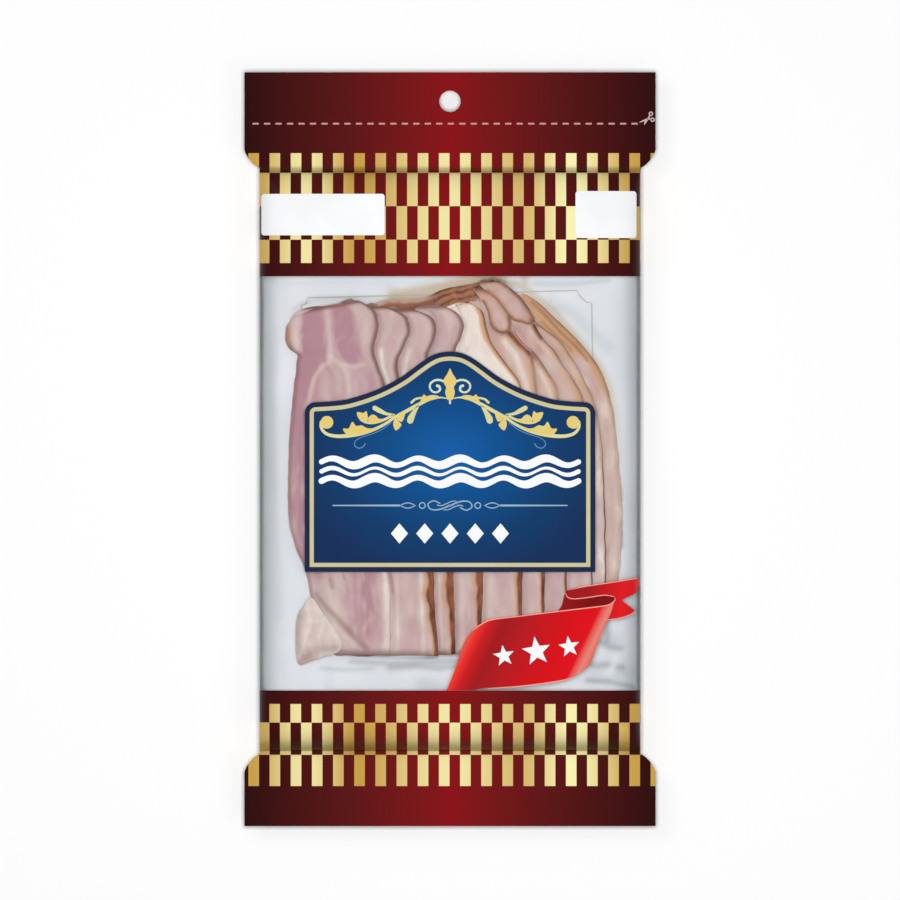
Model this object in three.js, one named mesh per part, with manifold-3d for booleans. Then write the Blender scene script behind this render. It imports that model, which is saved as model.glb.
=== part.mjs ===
import * as THREE from "three";
import { mergeVertices } from "three/addons/utils/BufferGeometryUtils.js";
import Module from "manifold-3d";

// A retail pack of sliced smoked bacon, lying on its back with its printed front up.
// Sizes are in millimetres. +X runs to the right across the front, +Y up to the hanging header,
// and +Z out of the front. The origin is on the ground under the middle of the pack.

// Outer bag
const PACK_LENGTH = 275;
const SEAL_WIDTH = 150;
const BODY_WIDTH = 139;
const BODY_THICKNESS = 16;
const HEADER_LENGTH = 36;
const FOOT_LENGTH = 27.4;
const SEAL_THICKNESS = 0.8;
const SEAL_HEIGHT = 6;
const SHOULDER_LENGTH = 6.6;
const SHOULDER_OFFSET = 1.2;
const SHOULDER_POWER = 1.4;
const HANG_HOLE_DIAMETER = 7.8;
const HANG_HOLE_FROM_TOP = 10.6;
const FRONT_SIDE_ROLL = 14;
const BACK_SIDE_ROLL = 9;
const FRONT_END_RAMP = 28;
const BACK_END_RAMP = 18;
const ROLL_POWER = 2.2;
const FRONT_CROWN = 1.2;

// Clear window in the front, and the tray-like space behind it
const WINDOW_TOP = 63;
const WINDOW_BOTTOM = -87.9;
const SIDE_WALL = 3.5;
const BACK_WALL = 1.2;
const WINDOW_CORNER = 2;

// Inner vacuum pouch
const CLEARANCE = 0.3;
const POUCH_TOP = 8.5;
const POUCH_EDGE = 1.4;

// Bacon slices, shingled from the right, each one over its right-hand neighbour
const SLICE_STEP = 1.5;
const SLICE_TOP = 13.6;
const SLICE_CROWN = 0.9;
const SLICE_FOOT = -75;
const SLICE_END_ROUND = 5;
const SLICE_END_DROOP = 1.6;
const SLICES_COVERED = 3;
const RIND_BEVEL = 0.8;
const WAIST_HEIGHT = 31;
const FOOT_DRIFT_LENGTH = 75;
const LOBE_HEIGHT = 44;
const LOBE_LENGTH = 5.5;
const FAN_START = -10;
const FAN_LENGTH = 66;
const FAN_REACH = 34;
const FAN_POWER = 2.4;

// One row for each slice: where its right edge runs at its waist and at its foot, how far
// the lobe near its head stands out, how much of the fan's lean it takes, and where it ends.
const SLICES = [
  { waist: -27, foot: -22, lobe: 1.6, lean: 0, head: 54 },
  { waist: -19, foot: -6, lobe: 4.4, lean: 0, head: 52 },
  { waist: -8.6, foot: 0, lobe: 4, lean: 0, head: 51 },
  { waist: 0.4, foot: 10, lobe: 4.8, lean: 0, head: 52.5 },
  { waist: 26.5, foot: 24.5, lobe: -4, lean: 0.5, head: 53.5 },
  { waist: 33, foot: 32.5, lobe: 0, lean: 0.55, head: 57 },
  { waist: 42, foot: 41.5, lobe: 0, lean: 0.82, head: 58 },
  { waist: 51.5, foot: 50, lobe: 0, lean: 1, head: 60.5 },
  { waist: 57, foot: 56, lobe: 0, lean: 0.98, head: 58 },
  { waist: 62.6, foot: 60.8, lobe: 0, lean: 1, head: 56 },
];

const wasm = await Module();
wasm.setup();

function solidOf(geometry) {
  const bare = geometry.clone();
  bare.deleteAttribute("normal");
  bare.deleteAttribute("uv");
  const merged = mergeVertices(bare, 1e-4);
  return new wasm.Manifold(
    new wasm.Mesh({
      numProp: 3,
      vertProperties: merged.attributes.position.array,
      triVerts: new Uint32Array(merged.index.array),
    }),
  );
}

function geometryOf(solid) {
  const mesh = solid.getMesh();
  const geometry = new THREE.BufferGeometry();
  geometry.setAttribute(
    "position",
    new THREE.BufferAttribute(new Float32Array(mesh.vertProperties), 3),
  );
  geometry.setIndex(new THREE.BufferAttribute(new Uint32Array(mesh.triVerts), 1));
  geometry.computeVertexNormals();
  return geometry;
}

// A box whose grid points are numbered across, along and through, and moved one by one
function formedBox(across, along, place) {
  const geometry = new THREE.BoxGeometry(2, 2, 2, across, along, 1);
  const points = geometry.attributes.position;
  for (let i = 0; i < points.count; i += 1) {
    const column = Math.round(((points.getX(i) + 1) / 2) * across);
    const row = Math.round(((points.getY(i) + 1) / 2) * along);
    const side = Math.sign(points.getZ(i));
    const [x, y, z] = place(column, row, side);
    points.setXYZ(i, x, y, z);
  }
  return geometry;
}

function steps(from, to, count, ease) {
  return Array.from({ length: count }, (_, i) => {
    return from + (to - from) * ease(i / count);
  });
}

const even = (t) => t;
const slowStart = (t) => 1 - Math.cos((t * Math.PI) / 2);
const slowEnd = (t) => Math.sin((t * Math.PI) / 2);
const bell = (distance, width) => Math.exp(-((distance / width) ** 2));

// Height of a rolled edge as a share of its full height, at a distance from the edge
function rolled(distance, length) {
  const t = Math.min(Math.max(distance / length, 0), 1);
  return (1 - (1 - t) ** ROLL_POWER) ** (1 / ROLL_POWER);
}

// Outer bag: two flat end seals with rounded shoulders, and the filled body between them
const TOP = PACK_LENGTH / 2;
const HEADER_SEAL = TOP - HEADER_LENGTH;
const FOOT_SEAL = FOOT_LENGTH - TOP;

function halfWidth(y) {
  const pastSeal = Math.max(y - HEADER_SEAL, FOOT_SEAL - y) - SHOULDER_OFFSET;
  const t = Math.min(Math.max(1 - pastSeal / SHOULDER_LENGTH, 0), 1);
  const drawnIn = 1 - (1 - t ** SHOULDER_POWER) ** (1 / SHOULDER_POWER);
  return SEAL_WIDTH / 2 - ((SEAL_WIDTH - BODY_WIDTH) / 2) * drawnIn;
}

function frontHeight(x, y) {
  const fromSide = BODY_WIDTH / 2 - Math.abs(x);
  const fromSeal = Math.min(HEADER_SEAL - y, y - FOOT_SEAL);
  const crown = FRONT_CROWN * (x / (BODY_WIDTH / 2)) ** 2;
  const rise = BODY_THICKNESS - crown - SEAL_HEIGHT - SEAL_THICKNESS / 2;
  const share = rolled(fromSide, FRONT_SIDE_ROLL) * rolled(fromSeal, FRONT_END_RAMP);
  return SEAL_HEIGHT + SEAL_THICKNESS / 2 + rise * share;
}

function backHeight(x, y) {
  const fromSide = BODY_WIDTH / 2 - Math.abs(x);
  const fromSeal = Math.min(HEADER_SEAL - y, y - FOOT_SEAL);
  const share = rolled(fromSide, BACK_SIDE_ROLL) * rolled(fromSeal, BACK_END_RAMP);
  return (SEAL_HEIGHT - SEAL_THICKNESS / 2) * (1 - share);
}

function bagRows() {
  const footShoulder = FOOT_SEAL - SHOULDER_OFFSET;
  const headShoulder = HEADER_SEAL + SHOULDER_OFFSET;
  return [
    ...steps(-TOP, footShoulder - SHOULDER_LENGTH, 1, even),
    ...steps(footShoulder - SHOULDER_LENGTH, footShoulder, 5, slowEnd),
    footShoulder,
    ...steps(FOOT_SEAL, FOOT_SEAL + FRONT_END_RAMP, 9, slowStart),
    ...steps(FOOT_SEAL + FRONT_END_RAMP, HEADER_SEAL - FRONT_END_RAMP, 4, even),
    ...steps(HEADER_SEAL - FRONT_END_RAMP, HEADER_SEAL, 9, slowEnd),
    HEADER_SEAL,
    ...steps(headShoulder, headShoulder + SHOULDER_LENGTH, 5, slowStart),
    headShoulder + SHOULDER_LENGTH,
    TOP,
  ];
}

function bagColumns() {
  const flat = BODY_WIDTH / 2 - FRONT_SIDE_ROLL;
  const roll = steps(flat, BODY_WIDTH / 2, 6, slowEnd);
  const right = [...steps(0, flat, 3, even), ...roll, BODY_WIDTH / 2];
  const left = right
    .slice(1)
    .reverse()
    .map((x) => -x);
  return [...left, ...right];
}

function bagBody() {
  const rows = bagRows();
  const columns = bagColumns();
  return solidOf(
    formedBox(columns.length - 1, rows.length - 1, (column, row, side) => {
      const y = rows[row];
      const x = (columns[column] * halfWidth(y)) / (BODY_WIDTH / 2);
      return [x, y, side > 0 ? frontHeight(x, y) : backHeight(x, y)];
    }),
  );
}

function roundedRectangle(left, right, bottom, top, radius) {
  const shape = new THREE.Shape();
  shape.absarc(right - radius, top - radius, radius, 0, Math.PI / 2);
  shape.absarc(left + radius, top - radius, radius, Math.PI / 2, Math.PI);
  shape.absarc(left + radius, bottom + radius, radius, Math.PI, Math.PI * 1.5);
  shape.absarc(right - radius, bottom + radius, radius, Math.PI * 1.5, Math.PI * 2);
  return shape;
}

function extruded(shape, from, to, curveSegments) {
  const geometry = new THREE.ExtrudeGeometry(shape, {
    depth: to - from,
    bevelEnabled: false,
    curveSegments,
  });
  geometry.translate(0, 0, from);
  return solidOf(geometry);
}

const WINDOW_SIDE = BODY_WIDTH / 2 - SIDE_WALL;

function printedBag() {
  const opening = extruded(
    roundedRectangle(-WINDOW_SIDE, WINDOW_SIDE, WINDOW_BOTTOM, WINDOW_TOP, WINDOW_CORNER),
    BACK_WALL,
    BODY_THICKNESS + 1,
    3,
  );
  const circle = new THREE.Shape();
  circle.absarc(0, TOP - HANG_HOLE_FROM_TOP, HANG_HOLE_DIAMETER / 2, 0, Math.PI * 2);
  const hole = extruded(circle, 0, BODY_THICKNESS, 28);
  return bagBody().subtract(opening).subtract(hole);
}

// Inner pouch: a flat sealed margin with the slices standing out of it
function rightEdge(index, y) {
  if (index <= 0) {
    const head = -1.8 * bell(y - 45, 8);
    const notch = 2.4 * bell(y - 34, 3);
    const drawnIn = 6 * THREE.MathUtils.smoothstep(-y, 22, 55);
    return -58 + head + notch + drawnIn - index * 3;
  }
  const { waist, foot, lobe, lean } = SLICES[index - 1];
  const down = THREE.MathUtils.smoothstep(WAIST_HEIGHT - y, 0, FOOT_DRIFT_LENGTH);
  const fanned = Math.max((y - FAN_START) / FAN_LENGTH, 0) ** FAN_POWER;
  const drift = (foot - waist) * down + lobe * bell(y - LOBE_HEIGHT, LOBE_LENGTH);
  return waist + drift - lean * FAN_REACH * fanned;
}

function sliceHeight(x, y, head) {
  const crown = SLICE_CROWN * (x / (BODY_WIDTH / 2)) ** 2;
  const fromEnd = Math.min(head - y, y - SLICE_FOOT);
  return SLICE_TOP - crown - SLICE_END_DROOP * (1 - rolled(fromEnd, 2 * SLICE_END_ROUND));
}

function slice(number) {
  const { head } = SLICES[number - 1];
  const rows = [
    ...steps(SLICE_FOOT, SLICE_FOOT + SLICE_END_ROUND, 2, slowStart),
    ...steps(SLICE_FOOT + SLICE_END_ROUND, 0, 5, even),
    ...steps(0, head - SLICE_END_ROUND, 9, even),
    ...steps(head - SLICE_END_ROUND, head, 4, slowEnd),
    head,
  ];
  const covered = Math.min(SLICES_COVERED, number);
  const geometry = formedBox(covered + 2, rows.length - 1, (column, row, side) => {
    const y = rows[row];
    const below = Math.max(covered - column, 0);
    const leftmost = rightEdge(number - covered, y) + (covered < SLICES_COVERED ? number : 0);
    const right = rightEdge(number, y);
    const inset = [RIND_BEVEL, 0][column - covered - 1] ?? 2 * RIND_BEVEL;
    const edge = below > 0 ? Math.max(rightEdge(number - below, y), leftmost) : right - inset;
    const nearHead = Math.max((y - head) / SLICE_END_ROUND + 1, 0);
    const middle = (leftmost + right) / 2;
    const rounded = Math.sqrt(Math.max(1 - nearHead ** 2, 0)) * 0.45 + 0.55;
    const x = middle + (edge - middle) * rounded;
    const drop = below * SLICE_STEP + (column === covered + 2 ? RIND_BEVEL : 0);
    return [x, y, side > 0 ? sliceHeight(x, y, head) - drop : POUCH_TOP - 1];
  });
  return solidOf(geometry);
}

// The pale foot corner of the front slice, folded out to the left
function foldedCorner() {
  const outline = [
    [-50.5, -54],
    [-55.2, -60],
    [-56.2, -69],
    [-55, -78.6],
    [-45.1, -75.4],
    [-42.5, -66],
  ].map(([x, y]) => new THREE.Vector2(x, y));
  const shape = new THREE.Shape();
  shape.moveTo(outline[0].x, outline[0].y);
  shape.splineThru(outline.slice(1));
  return extruded(shape, POUCH_TOP - 1, SLICE_TOP - SLICE_STEP, 3);
}

function pouchMargin() {
  const side = WINDOW_SIDE - CLEARANCE - POUCH_EDGE;
  const top = WINDOW_TOP - CLEARANCE - POUCH_EDGE;
  const bottom = WINDOW_BOTTOM + CLEARANCE + POUCH_EDGE;
  const low = BACK_WALL + CLEARANCE;
  const geometry = new THREE.ExtrudeGeometry(
    roundedRectangle(-side, side, bottom, top, WINDOW_CORNER - POUCH_EDGE),
    {
      depth: POUCH_TOP - low - 2 * POUCH_EDGE,
      bevelThickness: POUCH_EDGE,
      bevelSize: POUCH_EDGE,
      bevelSegments: 2,
      curveSegments: 3,
    },
  );
  geometry.translate(0, 0, low + POUCH_EDGE);
  return solidOf(geometry);
}

function baconPouch() {
  const standing = SLICES.map((_, i) => slice(i + 1));
  return [...standing, foldedCorner()].reduce((whole, piece) => whole.add(piece), pouchMargin());
}

const maroonFilm = new THREE.MeshStandardMaterial({
  color: 0x6d1a1a,
  roughness: 0.3,
  metalness: 0.15,
});
const baconThroughFilm = new THREE.MeshStandardMaterial({
  color: 0xcfa9a4,
  roughness: 0.35,
  metalness: 0,
});

function piece(name, solid, material) {
  const mesh = new THREE.Mesh(geometryOf(solid), material);
  mesh.name = name;
  return mesh;
}

const pack = new THREE.Group();
pack.add(piece("printed_bag", printedBag(), maroonFilm));
pack.add(piece("bacon_pouch", baconPouch(), baconThroughFilm));

export default pack;
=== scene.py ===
import functools
import math

import bpy
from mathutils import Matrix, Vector, noise


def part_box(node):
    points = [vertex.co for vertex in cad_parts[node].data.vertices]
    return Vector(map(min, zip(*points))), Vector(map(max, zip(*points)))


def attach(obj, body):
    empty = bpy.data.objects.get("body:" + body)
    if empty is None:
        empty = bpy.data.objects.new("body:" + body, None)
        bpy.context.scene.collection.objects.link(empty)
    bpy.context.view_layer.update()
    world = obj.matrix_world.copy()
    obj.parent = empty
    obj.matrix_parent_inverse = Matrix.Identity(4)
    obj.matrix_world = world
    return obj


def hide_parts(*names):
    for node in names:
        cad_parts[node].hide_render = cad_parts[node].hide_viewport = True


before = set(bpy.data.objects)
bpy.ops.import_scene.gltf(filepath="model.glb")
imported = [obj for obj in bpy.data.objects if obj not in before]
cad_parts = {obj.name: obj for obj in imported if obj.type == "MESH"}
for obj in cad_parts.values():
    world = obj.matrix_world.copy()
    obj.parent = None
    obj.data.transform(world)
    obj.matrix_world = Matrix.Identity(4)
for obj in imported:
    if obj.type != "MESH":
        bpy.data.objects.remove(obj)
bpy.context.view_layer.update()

# Outer bag
# A pillow bag of glossy printed laminate. It is filled out in the middle, and welded flat across
# both ends, where the front and the back film lie together. The film is white on its inner side.
MM = 0.001
bag_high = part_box("printed_bag")[1]
TOP = bag_high.y
SEAL_HALF = bag_high.x
THICKNESS = bag_high.z
BODY_HALF = 69.5 * MM
HEADER_SEAL = TOP - 36 * MM
FOOT_SEAL = 27.4 * MM - TOP
SEAL_THICKNESS = 0.8 * MM
SEAL_HEIGHT = 6 * MM
SHOULDER_LENGTH = 6.6 * MM
SHOULDER_OFFSET = 1.2 * MM
SHOULDER_POWER = 1.4
FRONT_SIDE_ROLL = 14 * MM
BACK_SIDE_ROLL = 9 * MM
HEADER_RAMP = 17 * MM
FOOT_RAMP = 9.5 * MM
FOOT_RAMP_POWER = 1.6
BACK_END_RAMP = 18 * MM
ROLL_POWER = 2.2
FRONT_CROWN = 1.2 * MM
BACK_RAISE = 0.25 * MM
FREE_END = 12 * MM
END_WAVE = 0.3 * MM
SLACK = 0.2 * MM
PUCKER = 0.3 * MM
PUCKER_REACH = 8 * MM
PUCKER_WIDTH = 3.7 * MM
FILM = 0.12 * MM
WINDOW_TOP = 63 * MM
WINDOW_BOTTOM = -87.9 * MM
HOLE_RADIUS = 3.9 * MM
HOLE_Y = TOP - 10.6 * MM
HOLE_SIDES = 48


def rolled(distance, length, power=ROLL_POWER):
    """How far a film that rolls in from its edge has come up at a distance from it, 0 to 1."""
    t = min(max(distance / length, 0), 1)
    return (1 - (1 - t) ** power) ** (1 / power)


def smooth(t):
    t = min(max(t, 0), 1)
    return t * t * (3 - 2 * t)


def bell(distance, width):
    return math.exp(-((distance / width) ** 2))


def half_width(y):
    """Half the bag's width: full at the welds, and drawn in at the shoulders."""
    past_seal = max(y - HEADER_SEAL, FOOT_SEAL - y) - SHOULDER_OFFSET
    t = min(max(1 - past_seal / SHOULDER_LENGTH, 0), 1)
    drawn_in = 1 - (1 - t**SHOULDER_POWER) ** (1 / SHOULDER_POWER)
    return SEAL_HALF - (SEAL_HALF - BODY_HALF) * drawn_in


def from_seal(y):
    return min(HEADER_SEAL - y, y - FOOT_SEAL)


def seal_wave(x, y):
    """The flat ends aren't quite flat: they wave a little, and more towards their free edge."""
    free = min(max(-from_seal(y) / FREE_END, 0), 1)
    return END_WAVE * free * noise.noise((x / (38 * MM), y / (30 * MM), 3.0))


def slack(x, y):
    """How far the front film stands off its even curve: soft waves, and puckers at the seals."""
    waves = noise.noise((x / (26 * MM), y / (41 * MM), 0.5))
    puckers = math.sin(x / PUCKER_WIDTH + 2.3 * math.sin(x / (12 * MM)))
    return SLACK * waves + PUCKER * puckers * math.exp(-max(from_seal(y), 0) / PUCKER_REACH)


def film_front(x, y):
    crown = FRONT_CROWN * (x / BODY_HALF) ** 2
    rise = THICKNESS - crown - SEAL_HEIGHT - SEAL_THICKNESS / 2
    ends = rolled(HEADER_SEAL - y, HEADER_RAMP) * rolled(y - FOOT_SEAL, FOOT_RAMP, FOOT_RAMP_POWER)
    share = rolled(BODY_HALF - abs(x), FRONT_SIDE_ROLL) * ends
    return SEAL_HEIGHT + SEAL_THICKNESS / 2 + (rise + slack(x, y)) * share + seal_wave(x, y)


def film_back(x, y):
    share = rolled(BODY_HALF - abs(x), BACK_SIDE_ROLL) * rolled(from_seal(y), BACK_END_RAMP)
    return (SEAL_HEIGHT - SEAL_THICKNESS / 2) * (1 - share) + seal_wave(x, y) + BACK_RAISE * share


def pick(piece):
    """Selects one piece alone and makes it the active one."""
    bpy.ops.object.select_all(action="DESELECT")
    piece.select_set(True)
    bpy.context.view_layer.objects.active = piece


def formed_grid(name, columns, rows, place):
    """A grid primitive whose points are numbered by column and row, and set one by one."""
    bpy.ops.object.select_all(action="DESELECT")
    bpy.ops.mesh.primitive_grid_add(x_subdivisions=columns, y_subdivisions=rows, size=2)
    piece = bpy.context.object
    piece.name = piece.data.name = name
    for vertex in piece.data.vertices:
        column = round((vertex.co.x + 1) / 2 * columns)
        row = round((vertex.co.y + 1) / 2 * rows)
        vertex.co = place(column, row)
    return piece


def apply_modifiers(piece):
    pick(piece)
    for modifier in list(piece.modifiers):
        bpy.ops.object.modifier_apply(modifier=modifier.name)


def thicken(piece, thickness):
    """Gives a sheet its thickness on its inner side, once its modifiers are applied."""
    body = piece.modifiers.new("thickness", "SOLIDIFY")
    body.thickness = thickness
    return body


def shade_smooth(piece, degrees=35):
    pick(piece)
    bpy.ops.object.shade_smooth_by_angle(angle=math.radians(degrees))


def spread(*stretches):
    """Places along a line: each stretch is (from, to, steps, how they crowd together)."""
    crowd = {
        "even": lambda t: t,
        "start": lambda t: 1 - math.cos(t * math.pi / 2),
        "end": lambda t: math.sin(t * math.pi / 2),
    }
    places = []
    for start, stop, steps, kind in stretches:
        places += [start + (stop - start) * crowd[kind](i / steps) for i in range(steps)]
    return places + [stretches[-1][1]]


foot_shoulder = FOOT_SEAL - SHOULDER_OFFSET
header_shoulder = HEADER_SEAL + SHOULDER_OFFSET
film_rows = spread(
    (-TOP, foot_shoulder - SHOULDER_LENGTH, 10, "even"),
    (foot_shoulder - SHOULDER_LENGTH, foot_shoulder, 12, "end"),
    (foot_shoulder, FOOT_SEAL, 2, "even"),
    (FOOT_SEAL, WINDOW_BOTTOM, 26, "start"),
    (WINDOW_BOTTOM, WINDOW_TOP, 60, "even"),
    (WINDOW_TOP, HEADER_SEAL, 34, "end"),
    (HEADER_SEAL, header_shoulder, 2, "even"),
    (header_shoulder, header_shoulder + SHOULDER_LENGTH, 12, "start"),
    (header_shoulder + SHOULDER_LENGTH, TOP, 14, "even"),
)
FLAT_HALF = BODY_HALF - FRONT_SIDE_ROLL
film_columns = spread(
    (-BODY_HALF, -FLAT_HALF, 14, "start"),
    (-FLAT_HALF, FLAT_HALF, 46, "even"),
    (FLAT_HALF, BODY_HALF, 14, "end"),
)


def on_film(height):
    """Places the points of a grid by the bag's own rows and columns, at the height of a film."""

    def place(column, row):
        y = film_rows[row]
        x = film_columns[column] * half_width(y) / BODY_HALF
        return Vector((x, y, height(x, y)))

    return place


film_cells = len(film_columns) - 1, len(film_rows) - 1
film = formed_grid("bag_film", *film_cells, on_film(film_front))
back = formed_grid("bag_back", *film_cells, on_film(film_back))
pick(film)
back.select_set(True)
bpy.ops.object.join()
bpy.ops.object.mode_set(mode="EDIT")
bpy.ops.mesh.select_mode(type="EDGE")
bpy.ops.mesh.select_all(action="DESELECT")
bpy.ops.mesh.select_non_manifold(use_wire=False, use_multi_face=False, use_non_contiguous=False)
bpy.ops.mesh.bridge_edge_loops()
bpy.ops.mesh.select_all(action="SELECT")
bpy.ops.mesh.normals_make_consistent(inside=False)
bpy.ops.mesh.select_all(action="DESELECT")
bpy.ops.object.mode_set(mode="OBJECT")

bpy.ops.object.select_all(action="DESELECT")
bpy.ops.mesh.primitive_cylinder_add(
    vertices=HOLE_SIDES,
    radius=HOLE_RADIUS,
    depth=2 * THICKNESS,
    location=(0, HOLE_Y, SEAL_HEIGHT),
)
punch = bpy.context.object
pick(film)
hole = film.modifiers.new("hang_hole", "BOOLEAN")
hole.operation = "DIFFERENCE"
hole.solver = "EXACT"
hole.object = punch
apply_modifiers(film)
bpy.data.objects.remove(punch)

# The front of the bag is left unprinted over its full width between two straight lines
for polygon in film.data.polygons:
    in_window = WINDOW_BOTTOM < polygon.center.y < WINDOW_TOP
    polygon.select = in_window and polygon.center.z > SEAL_HEIGHT
for vertex in film.data.vertices:
    vertex.select = False
for edge in film.data.edges:
    edge.select = False
pick(film)
bpy.ops.object.mode_set(mode="EDIT")
bpy.ops.mesh.select_mode(type="FACE")
bpy.ops.mesh.separate(type="SELECTED")
bpy.ops.object.mode_set(mode="OBJECT")
window = [o for o in bpy.context.selected_objects if o is not film][0]
window.name = window.data.name = "window_film"

thicken(film, FILM).material_offset = 1
film.data.materials.append(None)
film.data.materials.append(None)
apply_modifiers(film)
shade_smooth(film)


def srgb(red, green, blue):
    """A colour as seen on a screen, 0 to 255, turned into the linear values that shaders take."""
    values = []
    for c in (red, green, blue):
        c /= 255
        values.append(c / 12.92 if c <= 0.04045 else ((c + 0.055) / 1.055) ** 2.4)
    return (*values, 1)


class Nodes:
    """A new material with its Principled shader, and short ways to add and join nodes."""

    def __init__(self, name):
        self.material = bpy.data.materials.new(name)
        self.material.use_nodes = True
        self.tree = self.material.node_tree
        self.shader = self.tree.nodes["Principled BSDF"]
        self.out = self.tree.nodes["Material Output"]

    def add(self, kind, inputs=(), **settings):
        node = self.tree.nodes.new(kind)
        for key, value in settings.items():
            setattr(node, key, value)
        for key, value in dict(inputs).items():
            self.feed(node.inputs[key], value)
        return node

    def feed(self, socket, value):
        if isinstance(value, bpy.types.NodeSocket):
            self.tree.links.new(value, socket)
        else:
            socket.default_value = value

    def math(self, operation, *values):
        return self.add("ShaderNodeMath", enumerate(values), operation=operation).outputs[0]

    def mix(self, share, first, second):
        node = self.add("ShaderNodeMix", data_type="RGBA")
        self.feed(node.inputs["Factor"], share)
        self.feed(node.inputs[6], first)
        self.feed(node.inputs[7], second)
        return node.outputs[2]

    def ramp(self, value, stops, interpolation="LINEAR"):
        node = self.add("ShaderNodeValToRGB", {"Fac": value})
        ramp = node.color_ramp
        ramp.interpolation = interpolation
        while len(ramp.elements) < len(stops):
            ramp.elements.new(0.5)
        for element, (position, _) in zip(ramp.elements, stops):
            element.position = position
        for element, (_, colour) in zip(ramp.elements, stops):
            element.color = colour
        return node.outputs[0]

    def place(self):
        """Where on the piece a point is, in object coordinates."""
        return self.add("ShaderNodeTexCoord").outputs["Object"]

    def place_xy(self):
        apart = self.add("ShaderNodeSeparateXYZ", {0: self.place()})
        return apart.outputs[0], apart.outputs[1]

    def finish(self, **values):
        """Sets the inputs of the Principled shader and gives the material back."""
        for key, value in values.items():
            self.feed(self.shader.inputs[key.replace("_", " ")], value)
        return self.material


def node_group(name, inputs, outputs):
    """A new group of shader nodes whose sockets all carry plain values."""
    group = bpy.data.node_groups.new(name, "ShaderNodeTree")
    for direction, sockets in (("INPUT", inputs), ("OUTPUT", outputs)):
        for socket in sockets:
            group.interface.new_socket(socket, in_out=direction, socket_type="NodeSocketFloat")
    return group


def crinkle_group():
    """Printed film is never mirror flat: broad soft dents, and a fine orange peel over them."""
    group = node_group("film_crinkle", ["Dents", "Peel"], ["Height", "Patches"])
    nodes, links = group.nodes, group.links
    given = nodes.new("NodeGroupInput")
    result = nodes.new("NodeGroupOutput")
    where = nodes.new("ShaderNodeTexCoord")
    dents = nodes.new("ShaderNodeTexNoise")
    dents.inputs["Scale"].default_value = 38
    dents.inputs["Detail"].default_value = 3
    peel = nodes.new("ShaderNodeTexNoise")
    peel.inputs["Scale"].default_value = 900
    peel.inputs["Detail"].default_value = 1
    for texture in (dents, peel):
        links.new(where.outputs["Object"], texture.inputs["Vector"])
    broad = nodes.new("ShaderNodeMath")
    broad.operation = "MULTIPLY"
    links.new(dents.outputs[0], broad.inputs[0])
    links.new(given.outputs["Dents"], broad.inputs[1])
    fine = nodes.new("ShaderNodeMath")
    fine.operation = "MULTIPLY_ADD"
    links.new(peel.outputs[0], fine.inputs[0])
    links.new(given.outputs["Peel"], fine.inputs[1])
    links.new(broad.outputs[0], fine.inputs[2])
    links.new(fine.outputs[0], result.inputs["Height"])
    links.new(dents.outputs[0], result.inputs["Patches"])
    return group


film_crinkle = crinkle_group()


PEEL = 0.04


def film_surface(nodes, dents=1.0, low=0.26, high=0.4):
    """Gives a printed film its slight dents and its uneven gloss."""
    crinkle = nodes.add("ShaderNodeGroup", node_tree=film_crinkle)
    crinkle.inputs["Dents"].default_value = dents
    crinkle.inputs["Peel"].default_value = PEEL
    bump = nodes.add(
        "ShaderNodeBump",
        {"Height": crinkle.outputs["Height"], "Strength": 0.35, "Distance": 0.0006},
    )
    nodes.feed(nodes.shader.inputs["Normal"], bump.outputs[0])
    gloss = nodes.add(
        "ShaderNodeMapRange",
        {"Value": crinkle.outputs["Patches"], "To Min": low, "To Max": high},
    )
    nodes.feed(nodes.shader.inputs["Roughness"], gloss.outputs[0])


# The print of the bag: maroon, redder towards the middle, and two bands of gold checks. A band's
# rows lie between its lines, which are given in millimetres from the middle of the bag.
CHECK_PERIOD = 7.723 * MM
CHECK_START = -73.55 * MM
HEADER_CHECKS = [108.0, 100.8, 88.5, 76.3, 67.8]
FOOT_CHECKS = [-92.8, -99.6, -111.5, -122.9]
MAROON = [
    (0.0, srgb(134, 19, 24)),
    (0.13, srgb(120, 22, 24)),
    (0.5, srgb(88, 21, 22)),
    (1.0, srgb(44, 14, 14)),
]
# The dark olive of the painted shade along the welds
SEAL_SHADE_COLOUR = srgb(46, 34, 12)
GOLD_DEEP, GOLD_PALE = srgb(205, 162, 76), srgb(254, 247, 181)
# How pale the gold is from left to right
GOLD_SHEEN = [(-73, 0.0), (-52.5, 0.8), (-34, 0.0), (1, 0.82), (27, 0.26), (43.8, 1.0), (69, 0.0)]
# Painted shade along the welds, where the film rises from the flat ends: along which line, how far, how
# strongly
SEAL_SHADE_LINES = [(HEADER_SEAL + 0.5 * MM, 1.0 * MM, 0.5), (FOOT_SEAL + 1.6 * MM, 2.6 * MM, 0.4)]


def across(nodes, x):
    """X as a share of the bag's width, from its left edge to its right."""
    return nodes.add(
        "ShaderNodeMapRange", {"Value": x, "From Min": -SEAL_HALF, "From Max": SEAL_HALF}
    ).outputs[0]


def gold_colour(nodes, x):
    """Metallic gold with a paler sheen in vertical bands."""
    stops = []
    for place, share in GOLD_SHEEN:
        colour = [d + (p - d) * share for d, p in zip(GOLD_DEEP, GOLD_PALE)]
        stops.append(((place * MM + SEAL_HALF) / (2 * SEAL_HALF), colour))
    return nodes.ramp(across(nodes, x), stops, "EASE")


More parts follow.
